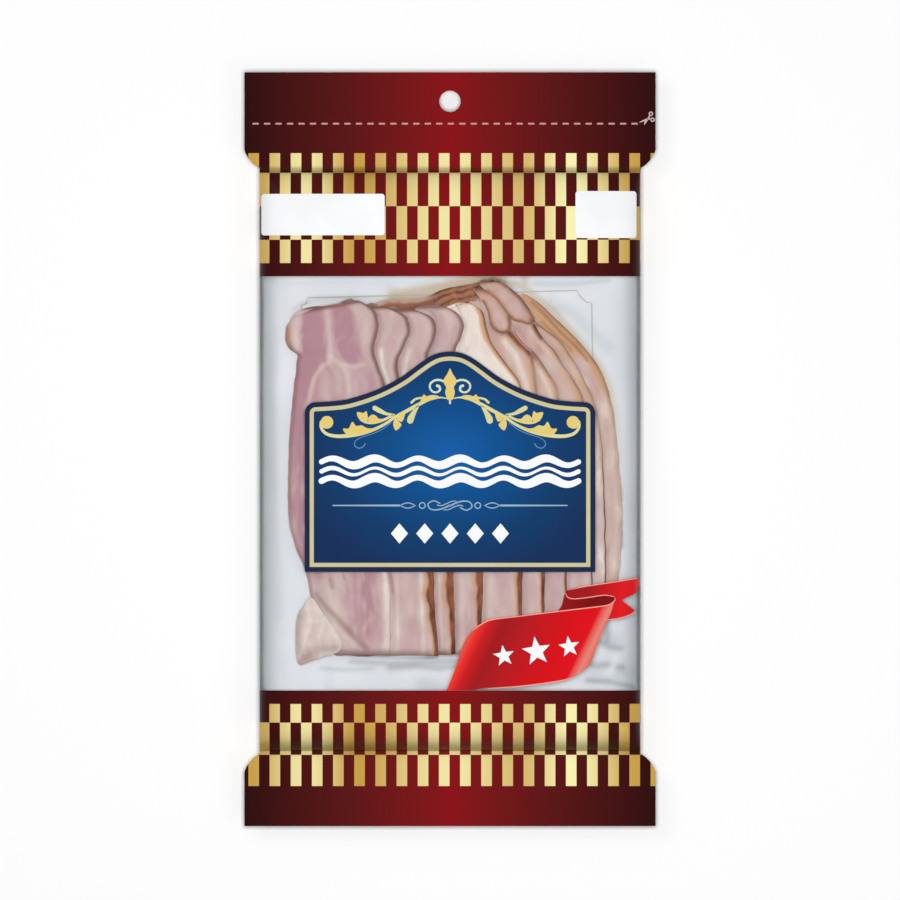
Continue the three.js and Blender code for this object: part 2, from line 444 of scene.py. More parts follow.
def printed_laminate():
    nodes = Nodes("printed_laminate")
    x, y = nodes.place_xy()
    maroon = nodes.ramp(nodes.math("DIVIDE", nodes.math("ABSOLUTE", x), SEAL_HALF), MAROON)

    def above(line):
        return nodes.math("GREATER_THAN", y, line * MM)

    # Each line between two rows of checks moves the gold on by half a period
    moved = 0.5
    for line in FOOT_CHECKS + HEADER_CHECKS[:-1]:
        moved = nodes.math("MULTIPLY_ADD", above(line), 0.5, moved)
    column = nodes.math("DIVIDE", nodes.math("SUBTRACT", x, CHECK_START), CHECK_PERIOD)
    checks = nodes.math("LESS_THAN", nodes.math("FRACT", nodes.math("ADD", column, moved)), 0.5)
    foot_band = nodes.math("SUBTRACT", above(FOOT_CHECKS[-1]), above(FOOT_CHECKS[0]))
    header_band = nodes.math("SUBTRACT", above(HEADER_CHECKS[-1]), above(HEADER_CHECKS[0]))
    gold = nodes.math("MULTIPLY", checks, nodes.math("ADD", foot_band, header_band))
    # Painted shade: the print is darkened in a band along each weld
    seal_shade = 0.0
    for line, reach, strength in SEAL_SHADE_LINES:
        away = nodes.math("DIVIDE", nodes.math("SUBTRACT", y, line), reach)
        squared = nodes.math("MULTIPLY", away, away)
        fading = nodes.math("EXPONENT", nodes.math("MULTIPLY", squared, -1.0))
        seal_shade = nodes.math("MULTIPLY_ADD", fading, strength, seal_shade)
    film_surface(nodes)
    print_colour = nodes.mix(gold, maroon, gold_colour(nodes, x))
    return nodes.finish(
        Base_Color=nodes.mix(seal_shade, print_colour, SEAL_SHADE_COLOUR),
        Metallic=nodes.math("MULTIPLY", gold, 0.12),
        Specular_IOR_Level=0.1,
    )


def film_inside():
    nodes = Nodes("film_inside")
    film_surface(nodes, low=0.4, high=0.55)
    return nodes.finish(Base_Color=srgb(226, 229, 232))


film.data.materials[0] = printed_laminate()
film.data.materials[1] = film_inside()
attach(film, "root")
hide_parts("printed_bag")

# Back seam
# The film's two long edges are welded together in a fin down the middle of the back, which is
# folded flat to one side.
FIN_WIDTH = 12 * MM
FIN_THICKNESS = 0.18 * MM
FIN_SINK = 0.05 * MM
FIN_COLUMNS, FIN_ROWS = 4, 80


def on_fin(column, row):
    y = FOOT_SEAL + (HEADER_SEAL - FOOT_SEAL) * row / FIN_ROWS
    return Vector((FIN_WIDTH * column / FIN_COLUMNS, y, max(film_back(0, y) - FIN_SINK, 0)))


fin = formed_grid("back_fin", FIN_COLUMNS, FIN_ROWS, on_fin)
thicken(fin, FIN_THICKNESS)
apply_modifiers(fin)
shade_smooth(fin)
fin.data.materials.append(film.data.materials[0])
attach(fin, "root")


# Window
# The same film where nothing is printed: clear, glossy, and drawn smoothly over the inner pouch.
HAZE = 0.012
CLEAR_IOR = 1.21


def clear_film(name, roughness, dents):
    """Film that is seen through, with a slight haze, and a gloss that grows at flat angles."""
    nodes = Nodes(name)
    crinkle = nodes.add("ShaderNodeGroup", node_tree=film_crinkle)
    crinkle.inputs["Dents"].default_value = dents
    crinkle.inputs["Peel"].default_value = 0.0
    bump = nodes.add(
        "ShaderNodeBump",
        {"Height": crinkle.outputs["Height"], "Strength": 0.5, "Distance": 0.001},
    ).outputs[0]
    clear = nodes.add("ShaderNodeBsdfTransparent", {"Color": (0.99, 0.99, 0.99, 1)})
    nodes.finish(Base_Color=srgb(238, 242, 245), Roughness=0.6, Specular_IOR_Level=0.0)
    cloudy = nodes.add(
        "ShaderNodeMixShader", {0: HAZE, 1: clear.outputs[0], 2: nodes.shader.outputs[0]}
    )
    gloss = nodes.add("ShaderNodeBsdfGlossy", {"Roughness": roughness, "Normal": bump})
    fresnel = nodes.add("ShaderNodeFresnel", {"IOR": CLEAR_IOR, "Normal": bump})
    film_mix = nodes.add(
        "ShaderNodeMixShader", {0: fresnel.outputs[0], 1: cloudy.outputs[0], 2: gloss.outputs[0]}
    )
    nodes.feed(nodes.out.inputs["Surface"], film_mix.outputs[0])
    return nodes.material


shade_smooth(window)
window.data.materials.clear()
window.data.materials.append(clear_film("clear_window", roughness=0.12, dents=1.0))
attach(window, "root")

# Bacon slices
# Cold-smoked back bacon, sliced thin and shingled from the right, so that each slice covers most
# of its right-hand neighbour. The smoked rind side of each one shows as a brown edge.
SLICE_STEP = 1.5 * MM
SLICE_THICKNESS = 1.1 * MM
SLICE_TOP = 13.6 * MM
SLICE_CROWN = 0.9 * MM
SLICE_DROOP = 2.3 * MM
SIDE_DROOP = 1.7 * MM
LEFT_DROOP = 1.5 * MM
SLICE_END_ROUND = 5 * MM
SLICE_END_DROOP = 1.6 * MM
SLICES_COVERED = 3
SOFT_EDGE = 0.45
RIPPLE = 0.14 * MM
# The front slice's left edge, and the right edge of each slice, from head to foot, as (Y, X)
EDGES = [
    [
        (54, -53), (52.4, -56.6), (50, -59), (45, -59.9), (39.4, -60), (36.5, -58.6), (34.4, -55.6),
        (32, -55.8), (23.4, -56.9), (0, -58.8), (-25.8, -58.8), (-35, -56.6), (-44.8, -52.7),
        (-54.7, -50.7), (-75, -46),
    ],
    [
        (54, -30.2), (49.7, -26.9), (45.8, -26), (41, -26.8), (37.5, -27.6), (34, -27.4),
        (30.5, -26.2), (23.5, -23.8), (10, -23), (-44.8, -22.8), (-52.5, -21.7), (-75, -21.9),
    ],
    [
        (52.6, -20), (50.6, -17.6), (48, -15.6), (43.5, -14.6), (38.4, -16.2), (33, -18.4),
        (27.4, -18.9), (10, -14), (-20, -7.6), (-45.2, -6), (-60, -5.3), (-75, -4.3),
    ],
    [
        (51.5, -8.4), (49.4, -6.6), (46.4, -5.5), (42.8, -4.9), (38.4, -6.2), (34, -8), (20, -6),
        (-20, 0.2), (-45.2, 1.2), (-75, 2),
    ],
    [
        (53, 1.5), (50.5, 3), (48, 4.1), (44.6, 5.2), (41, 4.3), (36.6, 2.2), (28, 1.6), (0, 8.5),
        (-45.2, 12), (-64.2, 11.4), (-75, 11),
    ],
    [
        (54, 9.6), (52.3, 11), (48, 12.7), (42.8, 13.8), (37.7, 15.8), (32.3, 19.7), (23.6, 25.6),
        (0, 27.5), (-45.9, 26.4), (-75, 26),
    ],
    [
        (60, 8), (58.1, 11), (55.4, 14.5), (53.4, 17.4), (50.1, 20.6), (47.7, 22.1), (43.5, 22.6),
        (40, 24.6), (37, 27.4), (34.4, 29.6), (27.8, 31), (20.9, 31.8), (-10, 34), (-45.9, 34.5),
        (-75, 34),
    ],
    [
        (52, 17), (47, 21.6), (42, 22.6), (38, 25.6), (35.4, 29.2), (33.3, 32.1), (26.4, 36.7),
        (22.3, 39.1), (0, 41.7), (-45.9, 42.6), (-75, 42.2),
    ],
    [
        (62, 15), (60.4, 18.8), (58.1, 22.6), (54.7, 26), (50.9, 28.4), (46.8, 30.4), (42.5, 32.4),
        (39.6, 34.6), (36.2, 37.9), (31.2, 41), (24.6, 45.4), (18, 48.5), (0, 50.5), (-45.9, 51.8),
        (-75, 51),
    ],
    [
        (56, 24), (50, 28.2), (46.4, 31.4), (43.6, 35), (39.4, 40.2), (34.4, 43.8), (29.4, 47),
        (23.8, 49.7), (18.4, 52.4), (0, 55.5), (-45.9, 56.9), (-75, 56),
    ],
    [
        (58, 27.2), (55.7, 29.9), (47.7, 38.4), (39.6, 46.7), (33, 52.1), (27.8, 55.4),
        (18.3, 58.8), (11.4, 60.1), (-4.3, 61.7), (-21.1, 62.8), (-32.4, 62.8), (-46.3, 61.7),
        (-75, 60.6),
    ],
]
# Where each slice ends at its head and at its foot
HEADS = [54.5, 52.2, 51.2, 52.4, 54, 54, 48, 58, 50, 57]
FEET = [-75, -75.3, -74.8, -75, -74.6, -75, -73, -67, -60.5, -57]


def through_points(points, y):
    """X on the smooth line (a cubic with even slopes) through points of (Y, X) that run down."""
    y = min(max(y, points[-1][0]), points[0][0])
    at = next(i for i in range(len(points) - 1) if y >= points[i + 1][0])
    (y0, x0), (y1, x1) = points[at], points[at + 1]
    before, after = points[max(at - 1, 0)], points[min(at + 2, len(points) - 1)]
    slope0 = (x1 - before[1]) / (y1 - before[0])
    slope1 = (after[1] - x0) / (after[0] - y0)
    run = y1 - y0
    t = (y - y0) / run
    return (
        (2 * t**3 - 3 * t**2 + 1) * x0
        + (t**3 - 2 * t**2 + t) * run * slope0
        + (3 * t**2 - 2 * t**3) * x1
        + (t**3 - t**2) * run * slope1
    )


@functools.lru_cache(maxsize=None)
def right_edge(number, y):
    """Where the right edge of a slice runs. Number 0 is the left edge of the front slice."""
    uneven = 0.3 * noise.noise((y / (5 * MM), number * 3.7, 1.0))
    return (through_points(EDGES[number], y / MM) + uneven) * MM


def pile_height(x, y):
    """The top of the pile of slices, which comes down towards its outer edges."""
    droop = SLICE_DROOP * smooth(1 - (right_edge(10, y) - x) / (13 * MM))
    droop += SIDE_DROOP * smooth((x / MM - 50) / 12)
    droop += LEFT_DROOP * smooth(1 - (x - right_edge(0, y)) / (10 * MM))
    return SLICE_TOP - SLICE_CROWN * (x / BODY_HALF) ** 2 - droop


def slice_height(x, y, head, foot):
    """The top of one slice, which bends down at its head and its foot."""
    from_end = min(head - y, y - foot)
    return pile_height(x, y) - SLICE_END_DROOP * (1 - rolled(from_end, 2 * SLICE_END_ROUND))


# The meat of each slice: how strong its dark rim is at the head (a brown edge with painted shade on
# it), how wide its brown rind is at the foot, how golden its fat is beside them, and how lean it is at
# both ends
MEAT = [
    {"rim": 0.95, "rind": 0.0, "gold": 0.0, "head_lean": 0.66, "foot_lean": 0.5},
    {"rim": 1.0, "rind": 2.8, "gold": 0.9, "head_lean": 0.48, "foot_lean": 0.46},
    {"rim": 1.0, "rind": 3.0, "gold": 0.9, "head_lean": 0.5, "foot_lean": 0.5},
    {"rim": 0.9, "rind": 2.5, "gold": 0.8, "head_lean": 0.54, "foot_lean": 0.55},
    {"rim": 0.0, "rind": 2.0, "gold": 1.0, "head_lean": 0.02, "foot_lean": 0.55},
    {"rim": 0.1, "rind": 1.5, "gold": 0.9, "head_lean": 0.46, "foot_lean": 0.5},
    {"rim": 0.1, "rind": 0.8, "gold": 0.5, "head_lean": 0.26, "foot_lean": 0.58},
    {"rim": 0.1, "rind": 0.5, "gold": 0.4, "head_lean": 0.36, "foot_lean": 0.5},
    {"rim": 0.0, "rind": 0.4, "gold": 0.4, "head_lean": 0.2, "foot_lean": 0.34},
    {"rim": 0.0, "rind": 0.3, "gold": 1.0, "head_lean": 0.3, "foot_lean": 0.36},
]
# Muscles, seams of fat and dark marks, each as (what, half width, strength, line), in millimetres
# A "fold" mark is painted shade: a dark line or spot in a fold of the meat or along an edge
MARKS = {
    1: [
        ("lean", 4.6, 0.75, [(-50.4, 48.5), (-50, 42), (-50.3, 36), (-52, 31)]),
        ("lean", 3.9, 0.6, [(-39, 49), (-38.6, 44), (-37.6, 39), (-37, 34.5)]),
        ("lean", 2.6, 0.2, [(-39.4, 43), (-38.2, 40)]),
        ("lean", 3.6, 0.5, [(-54, 30), (-54.8, 20), (-55, 5), (-55, -15), (-53, -32), (-49, -44)]),
        ("lean", 6.0, 0.42, [(-31, -42), (-31.2, -52), (-30.6, -60), (-31.6, -66)]),
        ("fat", 2.0, 0.6, [(-55.6, 49), (-56.0, 44), (-55.8, 39), (-54.8, 36)]),
        ("fat", 1.2, 0.55, [(-45.2, 50.5), (-44.4, 47.2), (-43.9, 42.7), (-43.9, 37.3), (-43.5, 33.6)]),
        ("fat", 0.9, 0.5, [(-43.9, 31.8), (-46.7, 30), (-49.4, 26.4), (-50.7, 21.8), (-51.6, 16)]),
        ("fat", 1.1, 0.5, [(-43.5, 33.6), (-39.4, 30.4), (-37.6, 27.7), (-37.1, 23.7), (-36.7, 17)]),
        ("fat", 0.8, 0.5, [(-39.4, 30.9), (-34.9, 30), (-31.2, 30.9)]),
        ("fat", 2.6, 0.38, [(-33.6, 51), (-31, 46), (-30.6, 40)]),
        ("fat", 1.3, 0.6, [(-23.8, -44), (-23.2, -55), (-23, -72)]),
        ("fat", 3.0, 0.45, [(-47, -50), (-44, -55), (-40, -60)]),
        ("fat", 1.4, 0.5, [(-45.4, -61), (-40.6, -66.4), (-35, -70.6)]),
        ("gold", 0.8, 0.5, [(-53, 52.6), (-46, 53.2), (-40, 53.3)]),
        ("fold", 1.1, 0.8, [(-59.4, 44), (-59.4, 40), (-58.4, 37.2), (-57, 35.4), (-55.2, 34.2)]),
        ("gold", 1.0, 0.5, [(-58.8, 46), (-58.6, 39)]),
        ("fold", 0.6, 0.8, [(-41, 53.2), (-39.8, 53.5), (-37.6, 53.1)]),
        ("fold", 1.0, 0.45, [(-43.6, -47.6), (-43, -50)]),
        ("fold", 4.0, 0.13, [(-48, -46), (-47, -53), (-44, -60)]),
        ("fold", 1.2, 0.5, [
            (-48.6, -53), (-45.2, -57.4), (-42, -60.6), (-38, -65), (-33, -70.6), (-30, -73),
        ]),
        ("fold", 0.4, 0.4, [(-39.2, -44.5), (-38.4, -47.5)]),
    ],
    2: [
        ("fat", 1.1, 0.8, [(-25.2, 36), (-24.6, 30), (-22.4, 24)]),
        ("fold", 0.4, 0.55, [(-21.9, -44.8), (-21.4, -48), (-20.7, -52.4)]),
        ("fat", 1.0, 0.6, [(-10.6, -44), (-10.2, -60), (-9.4, -74)]),
        ("fat", 0.7, 0.5, [(-19.4, -46), (-19, -60), (-19, -73)]),
    ],
    3: [
        ("fat", 1.1, 0.8, [(-15, 36), (-16, 31), (-17, 26)]),
        ("fat", 0.7, 0.5, [(-3.9, -46), (-2.9, -73)]),
    ],
    4: [("fat", 1.2, 0.4, [(4, -46), (4.6, -73)])],
    5: [
        ("fold", 0.5, 0.3, [(7, 53.2), (10, 53.6), (12, 52.6)]),
        ("gold", 1.5, 0.85, [(4, 53.8), (8, 54), (11, 51.4), (12.2, 47)]),
        ("fat", 1.4, 0.5, [(14.8, -46), (14, -73)]),
    ],
    6: [
        ("fold", 0.8, 0.7, [
            (14.8, 46), (16, 43.6), (18.7, 42.0), (21.2, 42.5), (24, 39.6), (27.6, 36.2),
        ]),
        ("rind", 1.3, 1.0, [(21.4, 42.6), (23.0, 40.9), (25.2, 38.4), (27.6, 36.6), (29.2, 34.6)]),
        ("gold", 0.9, 0.8, [(20.6, 41.2), (22.6, 38.6), (26, 35.6)]),
        ("gold", 2.6, 0.3, [(18, 40), (22, 34), (26, 27)]),
        ("fat", 2.2, 0.8, [(20, 39), (24, 33), (27, 26), (28.5, 18)]),
        ("lean", 2.6, 0.25, [(13, 55), (17, 51), (20, 48)]),
    ],
    7: [
        ("rind", 0.8, 0.7, [(29.8, 35), (32.5, 32.7), (36.5, 26.6)]),
        ("lean", 1.5, 0.4, [(26, 40), (30, 36), (33, 31)]),
        ("fat", 1.4, 0.5, [(31, 31), (34.5, 26), (37, 19)]),
    ],
    8: [
        ("rind", 1.2, 1.0, [(30.6, 45.2), (32.0, 42.5), (33.4, 40.6)]),
        ("rind", 0.8, 0.7, [(33.4, 40.6), (37.6, 36.4), (41, 31.2)]),
        ("lean", 1.8, 0.35, [(24.5, 44), (28, 39.6), (32.5, 35.4)]),
        ("fat", 1.4, 0.5, [(29.6, 43), (35, 36.6), (39, 31)]),
    ],
    9: [
        ("lean", 1.8, 0.3, [(33, 44), (37, 39.5), (42, 34)]),
        ("rind", 0.6, 0.6, [(31.5, 46.4), (35, 43.4), (40, 39.4), (43.4, 34.8)]),
        ("gold", 1.4, 0.6, [(33, 46.4), (36.4, 44), (41, 39.4)]),
        ("fat", 1.2, 0.4, [(44, 30), (48, 22)]),
    ],
    10: [
        ("gold", 3.8, 1.0, [(22, 58), (28, 54), (34, 48), (40, 42), (46, 36)]),
        ("rind", 0.8, 0.5, [(30, 53.6), (36, 47.6), (40.8, 42.2), (46, 37.4), (50, 32.4)]),
        ("rind", 0.6, 0.35, [(33.6, 46.4), (39, 41), (44.4, 36)]),
        ("lean", 1.4, 0.1, [(50, 30), (54, 22), (56.5, 15)]),
    ],
}


def from_line(x, y, points):
    """How far a place is from a line of straight stretches, in millimetres."""
    nearest = math.inf
    for (x1, y1), (x2, y2) in zip(points, points[1:]):
        dx, dy = x2 - x1, y2 - y1
        t = min(max(((x - x1) * dx + (y - y1) * dy) / (dx * dx + dy * dy), 0), 1)
        nearest = min(nearest, math.hypot(x - x1 - t * dx, y - y1 - t * dy))
    return nearest


def meat_at(number, x, y, from_rim):
    """The look of the meat at a place: how lean, how golden, how much rind, how dark with brown edges
    and painted shade.
    """
    look = MEAT[number - 1]
    edge = (right_edge(number, y) - x) / MM
    mx, my = x / MM, y / MM
    foot = smooth((24 - my) / 50)  # 0 at the head, 1 towards the foot
    warped = edge + 1.4 * noise.noise((my / 7, edge / 6, number * 1.3))
    patches = noise.noise((warped / 3.4, my / 10, number * 7.3))
    streaks = noise.noise((warped / 1.7, my / 6, number * 3.1))
    lean = look["head_lean"] + (look["foot_lean"] - look["head_lean"]) * foot
    lean += (0.24 * patches + 0.1 * streaks) * (0.25 if number == 5 and foot < 0.5 else 1)
    lean *= 0.6 + 0.4 * smooth((edge - 0.6) / 3.2)
    gold = rind = 0.0
    # The slices of the fan have a thin rind with golden fat beside it at their heads too
    if number > 5:
        gold = (0.2 * (1 + patches) + 0.5 * bell(edge - 1.5, 1.1)) * (1 - foot)
        rind = (0.52 + 0.3 * streaks) * bell(edge - 0.4, 0.75) * (1 - 0.6 * foot)
    # At the foot each rind is wider, and runs out towards its end
    wander = 1 + 0.35 * noise.noise((my / 5, number * 2.2, 4.0))
    rind_width = look["rind"] * foot * wander * (1 - 0.5 * smooth((-46 - my) / 26))
    if rind_width > 0.1:
        share = edge / rind_width
        rind = max(rind, min(max((1.15 - share) / 0.35, 0), 1) * min(foot * 1.4, 1))
        gold = max(gold, look["gold"] * bell(share - 1.25, 0.3) * foot)
    if number == 10:
        gold, rind = max(gold * smooth(my / 34), 0.16), rind * smooth((my + 4) / 30)
    # Two slices show a broad golden edge at the head: the white one, and the last of the fan
    if number in (5, 10):
        fading = (1 - foot) * (1 if number == 5 else smooth((my - 2) / 28))
        width = (2.4 if number == 5 else 4.6) * (1 - 0.5 * smooth((46 - my) / 30)) * wander
        share = edge / width
        gold = max(gold, fading * min(max((1.25 - share) / 0.5, 0), 1))
        rind = max(rind, fading * (0.8 if number == 5 else 0.4) * bell(share - 0.12, 0.28))
    if number == 5:
        gold = max(gold, 0.12 * bell(edge - 5, 3.5) * (1 - foot))
    # Dark lines run round the heads, a brown edge with painted shade on it, and painted shade lies
    # where a slice goes under the next
    fold = look["rim"] * bell(from_rim - 0.6, 1.1) * (1 - foot)
    if number > 1 and my < HEADS[number - 2]:
        beside = (x - right_edge(number - 1, y)) / MM
        if beside > 0:
            fold = max(fold, (0.36 if number < 6 else 0.22) * bell(beside, 1.0))
    # Painted shade along the outer edge of the last slice
    if number == 10:
        fold = max(fold, 0.36 * bell(edge - 0.6, 1.1))
    # A brown line along the front slice's left edge, with painted shade
    if number == 1:
        left = (x - right_edge(0, y)) / MM
        fold = max(fold, 0.55 * bell(left - 0.6, 0.9))
    for what, width, strength, line in MARKS.get(number, ()):
        amount = strength * math.exp(-((from_line(mx, my, line) / width) ** 2) * 1.1)
        if what == "lean":
            lean += amount * (1 + 0.6 * streaks)
        elif what == "fat":
            lean *= 1 - amount
        elif what == "gold":
            gold = max(gold, amount * (1 + patches))
        elif what == "rind":
            rind = max(rind, amount)
        else:
            fold = max(fold, amount)
    # Painted shade along each slice's foot, where it lies down on the pouch
    fold = max(fold, 0.75 * smooth((FEET[number - 1] + 3.2 - my) / 3.4))
    return min(max(lean, 0), 1), min(gold, 1), min(rind, 1), min(fold, 1)


def paint_meat(piece, looks):
    """Keeps the look of the meat at each point of a piece, for its material."""
    paint = piece.data.attributes.new("meat", "FLOAT_COLOR", "POINT")
    paint.data.foreach_set("color", [value for look in looks for value in look])


def make_slice(number):
    """One slice: its own width that shows, and what of it lies under the slices before it."""
    head, foot = HEADS[number - 1] * MM, FEET[number - 1] * MM
    covered = min(SLICES_COVERED, number)
    end_round = head - SLICE_END_ROUND
    rows = spread((foot, end_round, 140, "even"), (end_round, head, 14, "end"))
    # The columns, by how many slices back they lie, crowd together at the slice's right edge
    steps, crowding = (64, 1.1) if number == 1 else (24, 1.4)
    backs = [covered - i / 6 for i in range((covered - 1) * 6)]
    backs += [1 - (i / steps) for i in range(steps + 1)]
    looks = []

    def edge(behind, y):
        inset = (number - 1) * MM if number - behind <= 0 else 0
        return right_edge(number - behind, y) + inset

    def place(column, at_row):
        y = rows[at_row]
        back_by = backs[column]
        if back_by < 1:
            back_by = back_by**crowding
        whole = min(int(back_by), covered - 1)
        x = edge(whole, y) + (edge(whole + 1, y) - edge(whole, y)) * (back_by - whole)
        near_head = max((y - head) / SLICE_END_ROUND + 1, 0)
        left, right = edge(covered, y), edge(0, y)
        middle = (left + right) / 2
        rounded = math.sqrt(max(1 - near_head**2, 0)) * 0.45 + 0.55
        inner = max((right - x) / MM, 0)
        from_rim = min(inner, (head - y) / MM * 1.2)
        x = middle + (x - middle) * rounded
        if number == 5:
            y -= 0.4 * max(7 * MM - x, 0) * smooth((y / MM - 44) / 9)
        if number == 1:
            y += 1.7 * MM * bell(x / MM + 40, 5) * smooth((foot / MM + 9 - y / MM) / 9)
            y -= 0.18 * max(-33 * MM - x, 0) * smooth((y / MM - 40) / 13)
        near_foot = smooth((foot / MM + 9 - y / MM) / 9)
        y += 0.5 * MM * noise.noise((x / (6 * MM), number * 1.7, 3.0)) * near_foot
        ripple = RIPPLE * noise.noise((x / (11 * MM), y / (17 * MM), number * 5.1))
        fallen = 1 - math.sqrt(1 - (1 - min(inner / 0.7, 1)) ** 2)
        soft_edge = SOFT_EDGE * SLICE_THICKNESS * fallen
        looks.append(meat_at(number, x, y, from_rim))
        lying = slice_height(x, y, head, foot) - back_by * SLICE_STEP
        return Vector((x, y, lying + ripple - soft_edge))

    piece = formed_grid(f"bacon_slice_{number}", len(backs) - 1, len(rows) - 1, place)
    paint_meat(piece, looks)
    thicken(piece, SLICE_THICKNESS)
    apply_modifiers(piece)
    shade_smooth(piece, 50)
    return piece


def marbling_group():
    """Marbled meat: fine streaks of fat along the slice, and the grain of its fibres."""
    group = node_group("marbling", [], ["Streaks", "Grain"])
    nodes, links = group.nodes, group.links
    result = nodes.new("NodeGroupOutput")
    where = nodes.new("ShaderNodeTexCoord")
    drawn = nodes.new("ShaderNodeMapping")
    drawn.inputs["Scale"].default_value = (1.0, 0.5, 1.0)
    links.new(where.outputs["Object"], drawn.inputs["Vector"])
    streaks = nodes.new("ShaderNodeTexNoise")
    streaks.inputs["Scale"].default_value = 230
    streaks.inputs["Detail"].default_value = 3
    streaks.inputs["Distortion"].default_value = 0.8
    grain = nodes.new("ShaderNodeTexNoise")
    grain.inputs["Scale"].default_value = 1500
    grain.inputs["Detail"].default_value = 2
    for texture, socket in ((streaks, "Streaks"), (grain, "Grain")):
        links.new(drawn.outputs[0], texture.inputs["Vector"])
        links.new(texture.outputs[0], result.inputs[socket])
    return group


marbling = marbling_group()
CREAM_FAT, FAT = srgb(230, 222, 215), srgb(208, 190, 184)
PALE_LEAN, LEAN = srgb(198, 172, 170), srgb(176, 134, 144)
RIND_DARK, RIND, RIND_GOLD = srgb(96, 44, 22), srgb(150, 84, 46), srgb(200, 152, 104)
DARK_EDGE_AND_SHADE = srgb(108, 56, 42)


def bacon_meat():
    """Meat by the look kept at each point: red is lean, green gold, blue rind, alpha brown edges and
    painted shade.
    """
    nodes = Nodes("bacon_meat")
    texture = nodes.add("ShaderNodeGroup", node_tree=marbling)
    meat = nodes.add("ShaderNodeAttribute", attribute_name="meat")
    apart = nodes.add("ShaderNodeSeparateColor", {0: meat.outputs["Color"]})
    streaks = nodes.add(
        "ShaderNodeMapRange",
        {
            "Value": texture.outputs["Streaks"],
            "From Min": 0.3,
            "From Max": 0.7,
            "To Min": -0.1,
            "To Max": 0.1,
        },
    ).outputs[0]
    lean = nodes.math("ADD", apart.outputs[0], streaks)
    colour = nodes.ramp(lean, [(0.0, CREAM_FAT), (0.25, FAT), (0.5, PALE_LEAN), (1.0, LEAN)])
    # Brown edges and painted shade, by the alpha of the look
    colour = nodes.mix(nodes.math("MULTIPLY", meat.outputs["Alpha"], 0.85), colour, DARK_EDGE_AND_SHADE)
    colour = nodes.mix(nodes.math("MULTIPLY", apart.outputs[1], 0.85), colour, RIND_GOLD)
    rind = nodes.ramp(texture.outputs["Streaks"], [(0.35, RIND_DARK), (0.65, RIND)])
    colour = nodes.mix(apart.outputs[2], colour, rind)
    height = nodes.math("MULTIPLY_ADD", texture.outputs["Grain"], 0.3, texture.outputs["Streaks"])
    bump = nodes.add("ShaderNodeBump", {"Height": height, "Strength": 0.35, "Distance": 0.0003})
    return nodes.finish(
        Base_Color=colour, Roughness=0.42, Normal=bump.outputs[0], Specular_IOR_Level=0.25
    )


meat_material = bacon_meat()


def finish_meat(piece):
    piece.data.materials.clear()
    piece.data.materials.append(meat_material)
    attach(piece, "root")
    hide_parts("bacon_pouch")


for number in range(1, len(EDGES)):
    finish_meat(make_slice(number))


# Rind ends
# Behind the heads of the front slices the brown rind of the hidden ones sticks out, pressed
# together into a rust-coloured bundle.
def curve_through(points, steps=8, closed=False):
    """A smooth curve through points of any number of values."""
    count = len(points)
    result = []
    for i in range(count if closed else count - 1):
        p1, p2 = points[i], points[(i + 1) % count]
        p0 = points[i - 1] if closed or i > 0 else [2 * a - b for a, b in zip(p1, p2)]
        at_end = not closed and i + 2 >= count
        p3 = [2 * b - a for a, b in zip(p1, p2)] if at_end else points[(i + 2) % count]
        for step in range(steps):
            t = step / steps
            result.append(
                tuple(
                    0.5
                    * (
                        2 * b
                        + (c - a) * t
                        + (2 * a - 5 * b + 4 * c - d) * t * t
                        + (3 * b - a - 3 * c + d) * t**3
                    )
                    for a, b, c, d in zip(p0, p1, p2, p3)
                )
            )
    return result if closed else result + [tuple(points[-1])]


def stroke(points, steps=6):
    """The outline of a pen stroke through points of (x, y, width), with round ends."""
    line = curve_through(points, steps)
    left, right, caps = [], [], []
    for i, (x, y, width) in enumerate(line):
        before, after = line[max(i - 1, 0)], line[min(i + 1, len(line) - 1)]
        along = Vector((after[0] - before[0], after[1] - before[1])).normalized()
        half = max(width, 0.12) / 2
        left.append((x - along.y * half, y + along.x * half))
        right.append((x + along.y * half, y - along.x * half))
        if i in (0, len(line) - 1):
            turn = math.atan2(along.y, along.x) + (math.pi / 2 if i == 0 else -math.pi / 2)
            turns = [turn + math.pi * k / 6 for k in range(1, 6)]
            caps.append([(x + half * math.cos(t), y + half * math.sin(t)) for t in turns])
    return [*right, *caps[1], *reversed(left), *caps[0]]


def flat_shape(name, outlines, one_face=False):
    """A flat shape from closed outlines in millimetres. An outline in another one is a hole."""
    curve = bpy.data.curves.new(name, "CURVE")
    curve.dimensions = "2D"
    curve.fill_mode = "BOTH"
    for outline in outlines:
        spline = curve.splines.new("POLY")
        spline.points.add(len(outline) - 1)
        spline.use_cyclic_u = True
        for point, (x, y) in zip(spline.points, outline):
            point.co = (x * MM, y * MM, 0, 1)
    piece = bpy.data.objects.new(name, curve)
    bpy.context.scene.collection.objects.link(piece)
    pick(piece)
    bpy.ops.object.convert(target="MESH")
    piece = bpy.context.object
    bpy.ops.object.mode_set(mode="EDIT")
    bpy.ops.mesh.select_mode(type="FACE")
    bpy.ops.mesh.select_all(action="SELECT")
    bpy.ops.mesh.remove_doubles(threshold=0.000004)
    if one_face:
        bpy.ops.mesh.dissolve_limited(angle_limit=math.radians(0.2))
    bpy.ops.mesh.normals_make_consistent(inside=False)
    bpy.ops.object.mode_set(mode="OBJECT")
    if sum(p.normal.z * p.area for p in piece.data.polygons) < 0:
        bpy.ops.object.mode_set(mode="EDIT")
        bpy.ops.mesh.flip_normals()
        bpy.ops.object.mode_set(mode="OBJECT")
    return piece


def joined(name, pieces):
    """Makes one piece of several, under a name of its own."""
    pick(pieces[0])
    for piece in pieces:
        piece.select_set(True)
    if len(pieces) > 1:
        bpy.ops.object.join()
    pieces[0].name = pieces[0].data.name = name
    return pieces[0]


